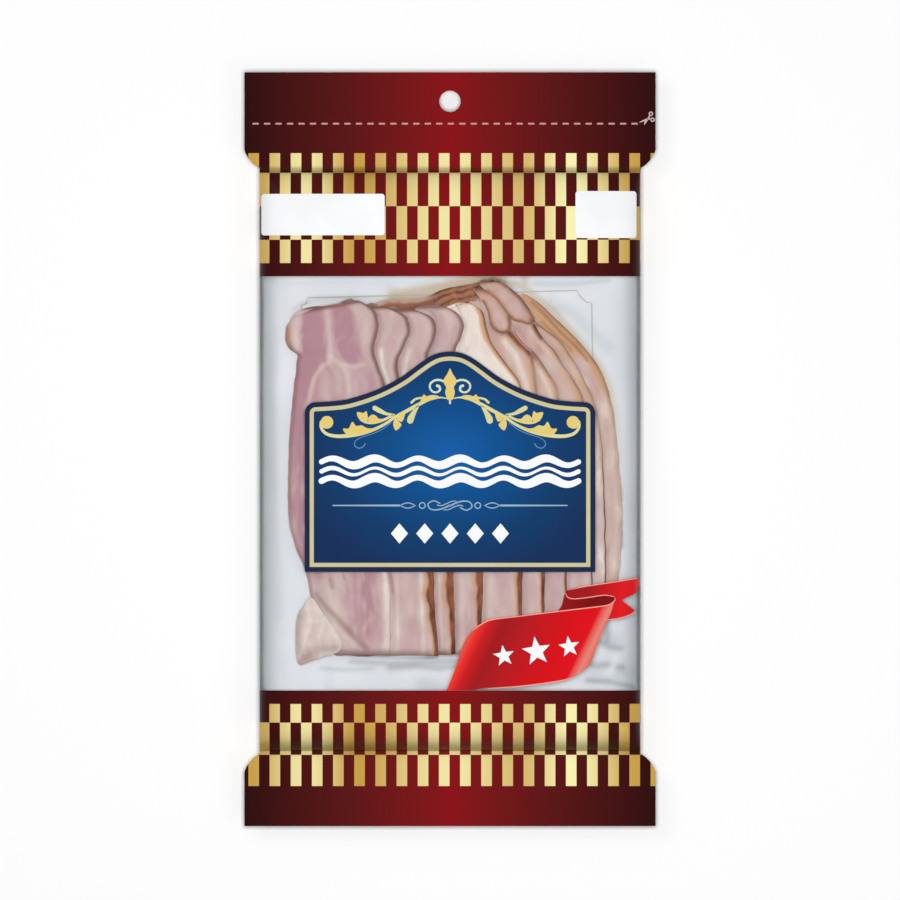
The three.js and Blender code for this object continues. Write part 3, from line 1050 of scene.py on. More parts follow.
def cut_in_cells(piece, cell):
    """Cuts a flat shape along evenly spaced lines, so that it can follow a curved surface."""
    cell *= MM
    places = [vertex.co.copy() for vertex in piece.data.vertices]
    pick(piece)
    bpy.ops.object.mode_set(mode="EDIT")
    for axis, normal in enumerate(((1, 0, 0), (0, 1, 0))):
        low = min(p[axis] for p in places)
        high = max(p[axis] for p in places)
        for i in range(math.ceil(low / cell), math.floor(high / cell) + 1):
            on_line = [i * cell * n for n in normal]
            bpy.ops.mesh.select_all(action="SELECT")
            bpy.ops.mesh.bisect(plane_co=on_line, plane_no=normal, threshold=1e-7)
    bpy.ops.mesh.select_all(action="DESELECT")
    bpy.ops.object.mode_set(mode="OBJECT")


def shape_in_meat(name, outline, cell, thickness, place_and_look):
    """A flat piece of meat from an outline, whose points are then raised and painted one by one."""
    piece = flat_shape(name, [outline])
    cut_in_cells(piece, cell)
    looks = []
    for vertex in piece.data.vertices:
        height, look = place_and_look(vertex.co.x / MM, vertex.co.y / MM)
        vertex.co.z = height * MM
        looks.append(look)
    paint_meat(piece, looks)
    thicken(piece, thickness * MM)
    apply_modifiers(piece)
    shade_smooth(piece, 50)
    finish_meat(piece)


BUNDLE_TOP = [
    (-26.8, 53.6), (-22, 54.6), (-18.3, 54.6), (-11, 55.0), (-7.3, 56.1), (-3.7, 57.8), (0, 58.9),
    (3.7, 59.5), (7.3, 60.2), (11, 61.1), (14.6, 61.8),
]
BUNDLE_FOOT = [
    (16, 60.6), (12.8, 57.6), (10.8, 55.2), (8, 52.5), (0, 49.5), (-8, 49.0), (-18, 49.4), (-26.6, 50),
]
BUNDLE_HEIGHT, BUNDLE_LEAST_HEIGHT = 11.2, 10.7


def bundle_look(x, y):
    """Strands of rind side by side: brown and dark at the right, tan over dark at the left."""
    inside = from_line(x, y, BUNDLE_TOP)
    wavy_inside = inside + 0.6 * noise.noise((x / 3, y / 3, 5.0))
    right = smooth((x + 10) / 6)
    strands = 0.5 + 0.5 * math.cos(wavy_inside * 2.6 + 0.4 + x / 7)
    height = BUNDLE_HEIGHT - 0.7 * bell(inside, 0.8) - 0.3 * max(inside - 1, 0) + 0.15 * strands
    tan = 1 - smooth((wavy_inside - 0.5) / 1.4)
    brown = right * (0.55 + 0.45 * strands) + (1 - right) * (1 - tan) * 0.8
    # Painted shade: darker towards the slice heads it goes under and between its strands; a dark line
    # runs along its top edge
    dark = (1 - right) * max(0.3 * tan, 0.85 * smooth((wavy_inside - 1.3) / 1.2))
    dark += right * max(0.55 * bell(inside - 0.3, 0.6), 0.6 * (1 - strands) ** 2)
    gold = 0.45 + 0.35 * right * (1 - strands)
    return max(height, BUNDLE_LEAST_HEIGHT), (0.35, gold, min(brown, 1), min(dark, 1))


bundle_outline = curve_through(BUNDLE_TOP, 4)[:-1] + curve_through(BUNDLE_FOOT, 4)
shape_in_meat("rind_bundle", bundle_outline, cell=0.5, thickness=0.8, place_and_look=bundle_look)

# Turned-over heads
# The heads of two slices of the fan are turned over towards the front, as short dark-edged flaps.
# Each has its outline, the stretch of it that is a dark rim (brown edge and painted shade), its rise
# over the slices, the brown seam along it as (strength, width, line), and spots of painted shade as
# (strength, width, line).
FLAPS = {
    "slice_flap_low": {
        "outline": [
            (8.4, 58.6), (11.6, 58.2), (14.2, 57.4), (17.2, 55.2), (19.8, 51.6), (21.6, 48),
            (22.1, 45.6), (21.7, 43.4), (20, 42.3), (17.6, 42.6), (15.6, 44.2), (14.4, 46.6),
            (13.7, 50), (12.2, 53.4), (10.0, 56.2),
        ],
        "rim": (5, 14),
        "rise": 0.55,
        "seam": (0.55, 1.3, [(13, 58), (17, 56), (20.4, 51.6), (22.6, 47.6)]),
        "spots": [],
    },
    "slice_flap_high": {
        "outline": [
            (10.4, 60.6), (13, 61.3), (16, 61.7), (18.6, 61.0), (22.6, 58.2), (26.2, 54.8),
            (28.9, 50.8), (30.6, 47.6), (30.4, 46.2), (28.4, 45.4), (26.0, 46.2), (23.8, 46.6),
            (22.0, 47.8), (19.6, 51), (16.8, 54.6), (13.4, 57.4),
        ],
        "rim": (2, 9),
        "rise": 1.1,
        "seam": (0.75, 0.9, [(22.0, 47.8), (19.6, 51), (16.8, 54.6), (13.4, 57.4)]),
        "spots": [
            (1.0, 1.0, [(22.0, 47.8), (22.0, 47.9)]),
            (1.0, 1.5, [(30.2, 46.6), (30.2, 46.7)]),
            (0.85, 0.9, [(30.4, 46.2), (28.4, 45.4), (26.0, 46.2), (23.8, 46.6), (22.0, 47.8)]),
        ],
    },
}


def flap_look(flap):
    """Lean meat with a golden edge, its brown seam, a dark rim of brown edge and painted shade, and
    spots of painted shade, as its entry says.
    """
    outline, rise = flap["outline"], flap["rise"]
    dark_rim = outline[slice(*flap["rim"])]

    def marked(x, y, strength, width, line):
        return strength * bell(from_line(x, y, line), width)

    def look(x, y):
        edge = from_line(x, y, [*outline, outline[0]])
        height = pile_height(x * MM, y * MM) / MM + rise - 0.55 * bell(edge, 0.6)
        lean = 0.46 + 0.3 * noise.noise((x / 3.2, y / 5, rise * 9))
        gold = 0.14 + 0.5 * bell(edge - 1.0, 0.8)
        dark = marked(x, y, 0.75, 0.9, dark_rim)
        spot = max((marked(x, y, *mark) for mark in flap["spots"]), default=0)
        brown = max(marked(x, y, *flap["seam"]), marked(x, y, 0.8, 1.1, outline[:3]))
        brown = max(brown, 0.85 * dark, 0.6 * spot)
        return height, (min(max(lean, 0), 1), gold, brown, min(max(dark, spot), 1))

    return look


for name, flap in FLAPS.items():
    flap_outline = curve_through(flap["outline"], 3, closed=True)
    shape_in_meat(name, flap_outline, cell=0.6, thickness=0.5, place_and_look=flap_look(flap))


def is_inside(outline, x, y):
    inside = False
    for (x1, y1), (x2, y2) in zip(outline, [*outline[1:], outline[0]]):
        if (y1 > y) != (y2 > y) and x < (x2 - x1) * (y - y1) / (y2 - y1) + x1:
            inside = not inside
    return inside


CONTENTS_HEAD = 61 * MM


def contents_height(x, y):
    """How high the slices stand at a place, or nothing beside them."""
    for flap in FLAPS.values():
        if is_inside(flap["outline"], x / MM, y / MM):
            return pile_height(x, y) + flap["rise"] * MM
    if y < CONTENTS_HEAD and x > right_edge(0, y):
        for number, (head, foot) in enumerate(zip(HEADS, FEET), start=1):
            head, foot = head * MM, foot * MM
            if foot < y < head and x < right_edge(number, y):
                width = max(right_edge(number, y) - right_edge(number - 1, y), MM)
                drop = SLICE_STEP * (right_edge(number, y) - x) / width
                return slice_height(x, y, head, foot) - min(drop, 3 * SLICE_STEP)
    return 0


# Folded corner
# The foot of the front slice is turned over at its left corner, and its pale underside shows.
CORNER = [
    (-50.5, -54), (-53.6, -57.4), (-55.4, -60.5), (-56.1, -65), (-56.2, -70), (-55.9, -75.5),
    (-54.8, -78.6), (-51.5, -77.6), (-47.8, -76.4), (-44.0, -75.2), (-40.2, -73.4), (-39.8, -69.8),
    (-42.6, -65), (-46.4, -59.6),
]
CORNER_BEND = [(-55.2, -60), (-55.8, -66), (-55.6, -74)]
CORNER_SHADOW_LINE = [(-53, -75.8), (-50, -73.8), (-46, -72.6), (-42, -72.6)]
CORNER_TIP = [(-54.6, -78.4), (-52, -77)]
CORNER_HEIGHT = 12.6


def corner_look(x, y):
    """Pale fat, with painted shade where it is bent over and along its outer edge, and a painted shadow
    where it lies on the foot of the slice.
    """
    outer = from_line(x, y, CORNER[1:10])
    height = CORNER_HEIGHT - 0.9 * bell(outer, 1.6) - 0.8 * smooth((x + 51) / 9)
    height += 0.15 * noise.noise((x / 4, y / 4, 2.0))
    # Painted shade at the bend and along the outer edge, and a painted shadow along the flap's lower
    # edge
    bend_shade = 0.42 * bell(from_line(x, y, CORNER_BEND), 1.7)
    under = 0.38 * bell(from_line(x, y, CORNER_SHADOW_LINE), 1.8)
    dark = 0.13 + max(bend_shade, under, 0.32 * bell(outer, 0.6))
    lean = 0.12 + 0.3 * bell(from_line(x, y, CORNER_TIP), 2.4)
    lean += 0.12 * noise.noise((x / 3, y / 3, 8.0))
    return height, (lean, 0.0, 0.0, dark)


corner_outline = curve_through(CORNER, 4, closed=True)
shape_in_meat("folded_corner", corner_outline, cell=1.0, thickness=0.9, place_and_look=corner_look)

# Inner pouch
# The slices are vacuum packed in a pouch with an opaque white back and a clear top. Its margins
# are welded flat and lie a little creased, and its top film clings to the slices.
POUCH_TOP = 67.5 * MM
POUCH_BOTTOM = -92 * MM
POUCH_LEVEL = 10 * MM
POUCH_SIDE = 1 * MM
POUCH_ROLL = 12 * MM
POUCH_ROLL_POWER = 1.65
PRESSED_DOWN = 1.3 * MM
POUCH_UNEVEN = 0.25 * MM
POUCH_MARGIN = 0.3 * MM
POUCH_BACK_FILM = 0.15 * MM
OVER_BAG_BACK = 0.4 * MM
CLING_LIFT = 0.35 * MM
CLING_SINK = 0.05 * MM
UNDER_WINDOW = 0.08 * MM
WRINKLE = 0.2 * MM
# Creases as (half width, height, line), in millimetres. Those that go down are also painted darker, as
# shade in the crease.
CREASES = [
    (1.0, -0.5, [(-36, -77.4), (-22, -78.4), (-8, -77.6), (6, -77.2), (20, -78.6)]),
    (1.1, -0.6, [(-22, -79.8), (-12, -79.2), (-4, -79.8), (6, -79)]),
    (0.8, -0.4, [(-47, -79.8), (-38, -80.6), (-28, -80)]),
    (1.2, -0.6, [(54, -70.0), (58.5, -72.2), (62.5, -72.6)]),
    (1.2, -0.6, [(49, -77.6), (53, -78.9), (58.5, -78.6), (63, -79.6)]),
    (1.0, -0.6, [(50, -84.2), (58, -84.9), (67, -86.6)]),
    (0.9, -0.5, [(53.6, -61), (57, -63.6), (57, -70)]),
    (4.5, -0.3, [(53, -82), (66, -82)]),
    (3.0, -0.3, [(57, -68), (60, -70)]),
    (3.0, -0.35, [(-10, -86), (-3, -88)]),
    (1.4, 0.5, [(68, -75), (62, -76.6), (57, -81.5)]),
    (2.2, 0.35, [(-62, 44), (-63.4, 20), (-62.6, -20), (-60.5, -60)]),
    (1.0, -0.3, [(31, 60.4), (44, 60.2), (58, 61.8)]),
    (2.4, -0.25, [(37, 53.4), (45, 49.6), (50.5, 44), (58, 37)]),
    (1.2, 0.3, [(-60, 59), (-40, 60.4), (-18, 59.4)]),
]
# Where the white is tinted tan, above the slice heads
TAN_TINT_LINE = [
    (-21, 55.6), (-13, 56.6), (-4, 58.6), (6, 60.8), (16, 62.4), (26, 59.6), (38, 50.5), (48, 38.5),
]


def creased(x, y):
    """How far the creases lift the pouch's white back at a place, in millimetres."""
    x, y = x / MM, y / MM
    return sum(height * bell(from_line(x, y, line), width) for width, height, line in CREASES)


def pouch_back_height(x, y):
    """The pouch's white back: level under the slices, and rolling down into the bag's side folds."""
    beside = half_width(y) - abs(x)
    t = min(max(beside / POUCH_ROLL, 0), 1)
    share = (1 - (1 - t) ** POUCH_ROLL_POWER) ** (1 / POUCH_ROLL_POWER)
    level = POUCH_SIDE + (POUCH_LEVEL - POUCH_SIDE - FRONT_CROWN * (x / BODY_HALF) ** 2) * share
    from_left, from_right = x - right_edge(0, y), right_edge(10, y) - x
    under = smooth(from_left / (4 * MM)) * smooth(from_right / (5 * MM))
    level -= PRESSED_DOWN * under * smooth((57 - y / MM) / 4)
    uneven = POUCH_UNEVEN * noise.noise((x / (9 * MM), y / (14 * MM), 6.0))
    folds = (creased(x, y) * MM + uneven) * min(beside / (4 * MM), 1)
    return max(level + folds, film_back(x, y) + OVER_BAG_BACK)


pouch_half, level_half = BODY_HALF - POUCH_MARGIN, BODY_HALF - POUCH_ROLL
pouch_columns = spread(
    (-pouch_half, -level_half, 18, "start"),
    (-level_half, level_half, 110, "even"),
    (level_half, pouch_half, 18, "end"),
)
POUCH_ROWS = 190


def on_pouch(height, raised=0.0):
    """Places the points of a grid over the whole pouch, at the height of one of its layers."""

    def place(column, row):
        x = pouch_columns[column]
        y = POUCH_BOTTOM + (POUCH_TOP - POUCH_BOTTOM) * row / POUCH_ROWS
        return Vector((x, y, height(x, y) + raised))

    return place


pouch_cells = len(pouch_columns) - 1, POUCH_ROWS
pouch_back = formed_grid("pouch_back", *pouch_cells, on_pouch(pouch_back_height))
painted_shade_values = pouch_back.data.attributes.new("painted_shade", "FLOAT", "POINT")
tan_and_shade_values = pouch_back.data.attributes.new("tan_and_shade", "FLOAT", "POINT")
for painted_shade, tan_and_shade_value, vertex in zip(painted_shade_values.data, tan_and_shade_values.data, pouch_back.data.vertices):
    x, y = vertex.co.x / MM, vertex.co.y / MM
    # Painted shade: darker in the creases that go down, and towards both sides where the back rolls
    # down into the bag's folds
    painted_shade.value = max(-creased(vertex.co.x, vertex.co.y), 0) + 0.5 * smooth((abs(x) - 61) / 8)
    reach = 2.6 - 1.3 * smooth((x - 14) / 10)
    uneven = 1 + 0.35 * noise.noise((x / 5, y / 3, 9.0))
    over_heads = min(1.15 * bell(from_line(x, y, TAN_TINT_LINE), reach * uneven), 1)
    # Painted shade, in warm tan, along the outer edge of the last slice of the fan
    beside = x - right_edge(10, vertex.co.y) / MM
    fan_edge_shade = 0.6 * bell(beside, 1.8) * smooth((y + 20) / 50)
    tan_and_shade_value.value = max(over_heads * (0.85 if x < 20 else 0.6), fan_edge_shade)
thicken(pouch_back, POUCH_BACK_FILM)
apply_modifiers(pouch_back)
shade_smooth(pouch_back, 60)


BACK_SHADE, BACK_WHITE = srgb(212, 216, 220), srgb(224, 226, 231)
CREASE_SHADE_GREY, TAN_AND_SHADE_COLOUR = srgb(138, 150, 148), srgb(192, 174, 146)
INK_SPECULAR = 0.3


def white_pouch_back():
    nodes = Nodes("white_pouch_back")
    cloud = nodes.add("ShaderNodeTexNoise", {"Vector": nodes.place(), "Scale": 26.0, "Detail": 3.0})
    colour = nodes.ramp(cloud.outputs[0], [(0.32, BACK_SHADE), (0.68, BACK_WHITE)])
    # Painted shade in grey, in the creases and at the sides
    painted_shade = nodes.add("ShaderNodeAttribute", attribute_name="painted_shade").outputs["Fac"]
    colour = nodes.mix(nodes.math("MULTIPLY", painted_shade, 0.8), colour, CREASE_SHADE_GREY)
    # A tan tint above the slice heads, and painted shade beside the fan's outer edge
    tan_and_shade = nodes.add("ShaderNodeAttribute", attribute_name="tan_and_shade").outputs["Fac"]
    colour = nodes.mix(tan_and_shade, colour, TAN_AND_SHADE_COLOUR)
    film_surface(nodes, dents=0.4, low=0.3, high=0.45)
    return nodes.finish(Base_Color=colour, Specular_IOR_Level=INK_SPECULAR)


pouch_back.data.materials.append(white_pouch_back())
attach(pouch_back, "root")
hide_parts("bacon_pouch")


def contents_or_back(x, y):
    return max(contents_height(x, y), pouch_back_height(x, y))


# The film is laid over the slices, drawn smooth, and kept between them and the window
cling = formed_grid("pouch_film", *pouch_cells, on_pouch(contents_or_back, CLING_LIFT))
resting = [vertex.co.z for vertex in cling.data.vertices]
pick(cling)
bpy.ops.object.mode_set(mode="EDIT")
bpy.ops.mesh.select_all(action="SELECT")
bpy.ops.mesh.vertices_smooth(factor=0.5, repeat=16, xaxis=False, yaxis=False)
bpy.ops.object.mode_set(mode="OBJECT")
for vertex, low in zip(cling.data.vertices, resting):
    x, y = vertex.co.x / MM, vertex.co.y / MM
    above = film_front(vertex.co.x, vertex.co.y) - UNDER_WINDOW
    wrinkle = max(1 - abs(noise.noise((x / 20 + y / 30, y / 5, 7.0))) * 7, 0)
    vertex.co.z = min(max(vertex.co.z, low - CLING_SINK) + WRINKLE * wrinkle, above)
shade_smooth(cling, 60)
cling.data.materials.append(clear_film("clear_pouch", roughness=0.16, dents=1.5))
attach(cling, "root")
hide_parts("bacon_pouch")

# Pouch frame line
# A thin brown line printed round the pouch's white back, with a stepped corner. The slices hide
# most of it.
FRAME_LINE = [
    (-54.2, 46), (-54.2, 52.4), (-52.4, 53.1), (-52, 55.2), (-20, 56.0), (20, 57.1), (46.2, 57.9),
    (47.2, 55.9), (49.7, 53.6), (51.7, 53.2), (51.9, 36), (52.3, 22), (53, 5),
]
FRAME_LINE_WIDTH = 0.42
FRAME_LINE_LIFT = 0.08 * MM


def thin_line(points, width):
    """The outline of a line of even width with sharp corners, in millimetres."""
    left, right = [], []
    for i, (x, y) in enumerate(points):
        before, after = points[max(i - 1, 0)], points[min(i + 1, len(points) - 1)]
        along = Vector((after[0] - before[0], after[1] - before[1])).normalized()
        left.append((x - along.y * width / 2, y + along.x * width / 2))
        right.append((x + along.y * width / 2, y - along.x * width / 2))
    return [*right, *reversed(left)]


frame_line = flat_shape("pouch_frame_line", [thin_line(FRAME_LINE, FRAME_LINE_WIDTH)])
cut_in_cells(frame_line, 1.0)
for vertex in frame_line.data.vertices:
    vertex.co.z = pouch_back_height(vertex.co.x, vertex.co.y) + FRAME_LINE_LIFT


def plain_ink(name, colour):
    """One colour of ink, which lies a little unevenly."""
    nodes = Nodes(name)
    film_surface(nodes)
    uneven = nodes.add("ShaderNodeTexNoise", {"Vector": nodes.place(), "Scale": 60.0, "Detail": 2.0})
    darker = (*(c * 0.93 for c in colour[:3]), 1)
    ink = nodes.ramp(uneven.outputs[0], [(0.3, darker), (0.7, colour)])
    return nodes.finish(Base_Color=ink, Specular_IOR_Level=INK_SPECULAR)


frame_line.data.materials.append(plain_ink("frame_line_ink", srgb(186, 180, 170)))
shade_smooth(frame_line)
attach(frame_line, "root")

# Signboard panel
# Printed on the window: a navy-edged blue sign with a gold line inside its edge. Its head rises
# in two soft steps to a rounded crest.
PANEL_HALF = 52.9
PANEL_FOOT = -44.7
PANEL_SHOULDER = 17.1
PANEL_CORNER = 4.0
PANEL_CREST = [
    (47.8, 17.15), (42.5, 17.5), (37.3, 18.2), (30.3, 20.3), (24.2, 22.8), (17.8, 26.3),
    (12.2, 30.4), (8.5, 33.0), (4.9, 34.8), (1.5, 35.45),
]
# The sign's edge, from outside in: how wide each band is, and whether it is added outside
PANEL_BANDS = [(0.3 * MM, True), (1.8 * MM, False), (1.5 * MM, False)]
PRINT_LIFT = 0.07 * MM
SLOPE_STEP = 0.05 * MM


def lay_on_film(piece, lift=PRINT_LIFT):
    """Sets each point of a print squarely on the front film, as far off it as the ink is thick."""
    step = SLOPE_STEP
    for vertex in piece.data.vertices:
        x, y = vertex.co.x, vertex.co.y
        x = min(max(x, -half_width(y) + 2 * step), half_width(y) - 2 * step)
        height = film_front(x, y)
        slope_x = (film_front(x + step, y) - film_front(x - step, y)) / (2 * step)
        slope_y = (film_front(x, y + step) - film_front(x, y - step)) / (2 * step)
        vertex.co = Vector((x, y, height)) + Vector((-slope_x, -slope_y, 1)).normalized() * lift
    shade_smooth(piece)
    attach(piece, "root")


right_side = [(PANEL_HALF, PANEL_FOOT)]
for turn in (math.pi / 2 * i / 8 for i in range(9)):
    x = PANEL_HALF - PANEL_CORNER * (1 - math.cos(turn))
    right_side.append((x, PANEL_SHOULDER - PANEL_CORNER * (1 - math.sin(turn))))
left_side = [(-x, y) for x, y in reversed(right_side)]
left_crest = [(-x, y) for x, y in reversed(PANEL_CREST)]
crest = curve_through([*PANEL_CREST, *left_crest], 4)
panel = flat_shape("sign_panel", [right_side + crest + left_side], one_face=True)
for _ in range(len(PANEL_BANDS) + 1):
    panel.data.materials.append(None)
pick(panel)
bpy.ops.object.mode_set(mode="EDIT")
bpy.ops.mesh.select_mode(type="FACE")
bpy.ops.mesh.select_all(action="SELECT")
for index, (width, outwards) in enumerate(PANEL_BANDS):
    panel.active_material_index = index
    bpy.ops.object.material_slot_assign()
    bpy.ops.mesh.inset(thickness=width, use_even_offset=True, use_outset=outwards)
panel.active_material_index = len(PANEL_BANDS)
bpy.ops.object.material_slot_assign()
bpy.ops.object.mode_set(mode="OBJECT")
cut_in_cells(panel, 4)
lay_on_film(panel)


PANEL_BLUE = [
    (0.0, srgb(20, 92, 164)),
    (0.35, srgb(12, 76, 136)),
    (0.7, srgb(15, 58, 104)),
    (1.0, srgb(20, 46, 88)),
]


def panel_blue():
    """Blue that darkens evenly from the sign's middle to its corners."""
    nodes = Nodes("panel_blue")
    x, y = nodes.place_xy()
    up = nodes.math("DIVIDE", nodes.math("ADD", y, 2 * MM), 46 * MM)
    side = nodes.math("DIVIDE", x, 58 * MM)
    far = nodes.math("SQRT", nodes.math("MULTIPLY_ADD", up, up, nodes.math("MULTIPLY", side, side)))
    film_surface(nodes)
    return nodes.finish(Base_Color=nodes.ramp(far, PANEL_BLUE), Specular_IOR_Level=INK_SPECULAR)


white_ink = plain_ink("white_ink", srgb(247, 248, 250))
panel.data.materials[0] = plain_ink("panel_underprint", srgb(214, 214, 228))
panel.data.materials[1] = plain_ink("navy_ink", srgb(28, 42, 74))
panel.data.materials[2] = plain_ink("gold_line_ink", srgb(205, 196, 150))
panel.data.materials[3] = panel_blue()

# Panel ornament
# Gold leaf scrolls printed on the sign on both sides of a lily, with pale curls. Both halves are
# mirror images. Each stroke is a line of points with the pen's width there, in millimetres.
ORNAMENT_STROKES = [
    [(-44.9, 9.7, 4.6), (-44.8, 9.8, 4.7)],
    [
        (-47.1, 10.0, 0.7), (-47.0, 8.2, 1.0), (-46.0, 6.4, 1.1), (-44.0, 5.2, 1.2),
        (-40.6, 4.7, 1.3), (-36.3, 5.0, 1.4), (-32.1, 5.8, 1.4), (-27.9, 7.1, 1.2),
        (-23.6, 9.2, 1.0), (-20.1, 11.6, 1.1), (-15.8, 13.9, 1.3), (-11.2, 16.4, 1.3),
        (-7.7, 18.0, 1.0), (-3.8, 18.8, 0.6), (-1.2, 18.5, 0.35),
    ],
    [
        (-32.6, 10.6, 0.5), (-30.6, 9.8, 0.9), (-27.9, 9.7, 1.1), (-24.6, 10.5, 1.0),
        (-20.8, 12.3, 0.8),
    ],
    [(-27.4, 15.0, 1.7), (-25.6, 14.0, 1.7), (-23.2, 12.9, 1.1), (-20.4, 12.5, 0.7)],
    [(-11.3, 16.2, 0.7), (-12.8, 13.9, 1.4), (-14.1, 11.6, 2.3), (-14.5, 10.4, 2.3)],
    [(-14.0, 17.0, 0.9), (-12.6, 18.2, 0.8), (-10.2, 18.7, 0.7), (-8.0, 18.4, 0.6)],
]
ORNAMENT_LEAVES = [
    [
        (-33.9, 13.4), (-33.5, 11.6), (-32.3, 10.3), (-30.0, 9.7), (-29.9, 11.3), (-30.4, 13.8),
        (-31.5, 13.2), (-32.5, 13.4),
    ],
    [
        (-29.8, 11.4), (-28.3, 12.6), (-26.9, 12.1), (-25.9, 11.1), (-23.8, 11.0), (-25.4, 9.9),
        (-28.5, 9.6), (-30.0, 9.9),
    ],
    [
        (-38.9, 7.5), (-36.9, 7.6), (-35.6, 10.0), (-34.2, 8.5), (-32.2, 8.7), (-30.2, 7.7),
        (-27.6, 7.7), (-24.7, 9.0), (-28.0, 6.7), (-32.1, 5.6), (-36.4, 4.9), (-38.2, 5.9),
    ],
    [(-20.7, 9.1), (-19.7, 6.8), (-17.7, 8.7), (-18.5, 10.0), (-19.9, 11.2)],
    [(-19.4, 11.2), (-18.6, 10.3), (-17.4, 10.1), (-16.6, 11.8), (-16.4, 13.4), (-18.0, 12.9)],
    [
        (-9.6, 19.9), (-8.6, 19.3), (-6.8, 19.7), (-5.0, 19.6), (-3.7, 18.9), (-5.2, 18.2),
        (-8.8, 17.4), (-10.8, 17.1),
    ],
]
LILY = [
    (0, 29.6), (-1.0, 27.4), (-2.3, 25.4), (-2.2, 24.0), (-1.4, 22.5), (-1.75, 21.0), (-1.5, 19.4),
    (-0.9, 18.0),
]
LILY_STALK = [(0, 17.9, 0.8), (0, 16.7, 0.7)]
PALE_CURLS = [
    [
        (-2.3, 24.7, 0.8), (-3.8, 25.2, 0.8), (-5.6, 25.0, 0.8), (-7.1, 23.9, 0.75),
        (-7.3, 22.4, 0.7), (-6.5, 21.1, 0.7), (-5.0, 20.7, 0.7), (-3.7, 21.5, 0.8),
        (-3.9, 22.8, 0.9), (-4.7, 23.1, 1.0),
    ],
]
FAINT_CURLS = [
    [
        (-21.5, 9.6, 0.25), (-24.7, 7.2, 0.3), (-28.6, 5.5, 0.3), (-32.1, 4.4, 0.3),
        (-34.2, 3.2, 0.32), (-34.8, 1.6, 0.36), (-33.5, 0.4, 0.4), (-31.8, 0.8, 0.4),
        (-30.8, 2.0, 0.4),
    ],
]


def both_halves(outlines):
    """Outlines, and their mirror images."""
    return outlines + [[(-x, y) for x, y in reversed(outline)] for outline in outlines]


def printed_shapes(name, outlines, lift, cell=5.0):
    """Small printed shapes, each filled by itself and hardly above the one before it."""
    pieces = []
    for index, outline in enumerate(outlines):
        rings = outline if isinstance(outline[0][0], tuple) else [outline]
        pieces.append(flat_shape(f"{name}_{index}", rings))
    piece = joined(name, pieces)
    cut_in_cells(piece, cell)
    lay_on_film(piece, lift)
    return piece


gold_leaves = [stroke(ORNAMENT_STROKES[0])]
gold_leaves += [curve_through(leaf, 4, closed=True) for leaf in ORNAMENT_LEAVES]
lily = curve_through(LILY, 4)
lily += [(-x, y) for x, y in reversed(lily[1:])]
ornament = printed_shapes("gold_leaves", both_halves(gold_leaves) + [lily], lift=0.15 * MM)
stem_strokes = both_halves([stroke(line) for line in ORNAMENT_STROKES[1:]])
stems = printed_shapes("gold_stems", stem_strokes, lift=0.13 * MM)
stems.data.materials.append(plain_ink("pale_gold_ink", srgb(220, 214, 152)))


def gold_leaf_ink():
    """Printed gold with a deeper yellow in the fuller parts."""
    nodes = Nodes("gold_leaf_ink")
    fuller = nodes.add("ShaderNodeTexNoise", {"Vector": nodes.place(), "Scale": 420.0, "Detail": 2.0})
    ink = nodes.ramp(fuller.outputs[0], [(0.35, srgb(226, 212, 142)), (0.6, srgb(236, 206, 108))])
    film_surface(nodes)
    return nodes.finish(Base_Color=ink, Metallic=0.1, Specular_IOR_Level=INK_SPECULAR)


ornament.data.materials.append(gold_leaf_ink())
curl_strokes = both_halves([stroke(line) for line in PALE_CURLS]) + [stroke(LILY_STALK)]
curls = printed_shapes("pale_curls", curl_strokes, lift=0.12 * MM)
curls.data.materials.append(plain_ink("pale_curl_ink", srgb(210, 220, 190)))
faint_strokes = both_halves([stroke(line) for line in FAINT_CURLS])
faint = printed_shapes("faint_curls", faint_strokes, lift=0.12 * MM)
faint.data.materials.append(plain_ink("faint_blue_ink", srgb(96, 142, 184)))

# Panel divider
# A fine pale line across the sign, with small loops and a flourish in its middle.
DIVIDER = -20.5


def ring(x, y, radius, width):
    """A ring as an outer and an inner outline."""
    turns = [2 * math.pi * i / 24 for i in range(24)]
    both = radius + width / 2, radius - width / 2
    return [tuple((x + r * math.cos(t), y + r * math.sin(t)) for t in turns) for r in both]


def lens(x, y, half_length, half_height, width):
    """A pointed loop as an outer and an inner outline."""
    both = []
    inner = half_length - 1.4 * width, half_height - width
    for length, height in ((half_length, half_height), inner):
        top = [(x + length * (i / 8 - 1), y + height * math.sin(math.pi * i / 16)) for i in range(17)]
        both.append(tuple(top + [(2 * x - px, 2 * y - py) for px, py in top[1:-1]]))
    return both


FLOURISH = [
    (-3.7, 0.8, 0.45), (-6.0, 1.7, 0.45), (-8.0, 0.5, 0.45), (-7.2, -1.2, 0.45), (-5.0, -1.6, 0.5),
    (-2.4, -1.0, 0.55), (0, 0.1, 0.6),
]
UNDER_FLOURISH = [
    (-4.6, 0.2, 0.4), (-3.4, -0.1, 0.4), (-1.6, 0.5, 0.4), (0.6, 1.5, 0.35), (2.2, 1.6, 0.3),
]
pale_shapes = [stroke([(-42.6, DIVIDER, 0.45), (-30, DIVIDER, 0.6), (-18.4, DIVIDER, 0.75)])]
pale_shapes.append(lens(-15.4, DIVIDER, 3.0, 1.15, 0.42))
pale_shapes.append(ring(-10.1, DIVIDER, 1.05, 0.42))
for line in (FLOURISH, UNDER_FLOURISH):
    pale_shapes.append(stroke([(x, DIVIDER + y, width) for x, y, width in line]))
turned = []
for shape in pale_shapes:
    if isinstance(shape[0][0], tuple):
        turned.append([tuple((-x, 2 * DIVIDER - y) for x, y in outline) for outline in shape])
    else:
        turned.append([(-x, 2 * DIVIDER - y) for x, y in shape])
divider = printed_shapes("panel_divider", pale_shapes + turned, lift=0.12 * MM)
divider.data.materials.append(plain_ink("pale_blue_ink", srgb(150, 178, 196)))

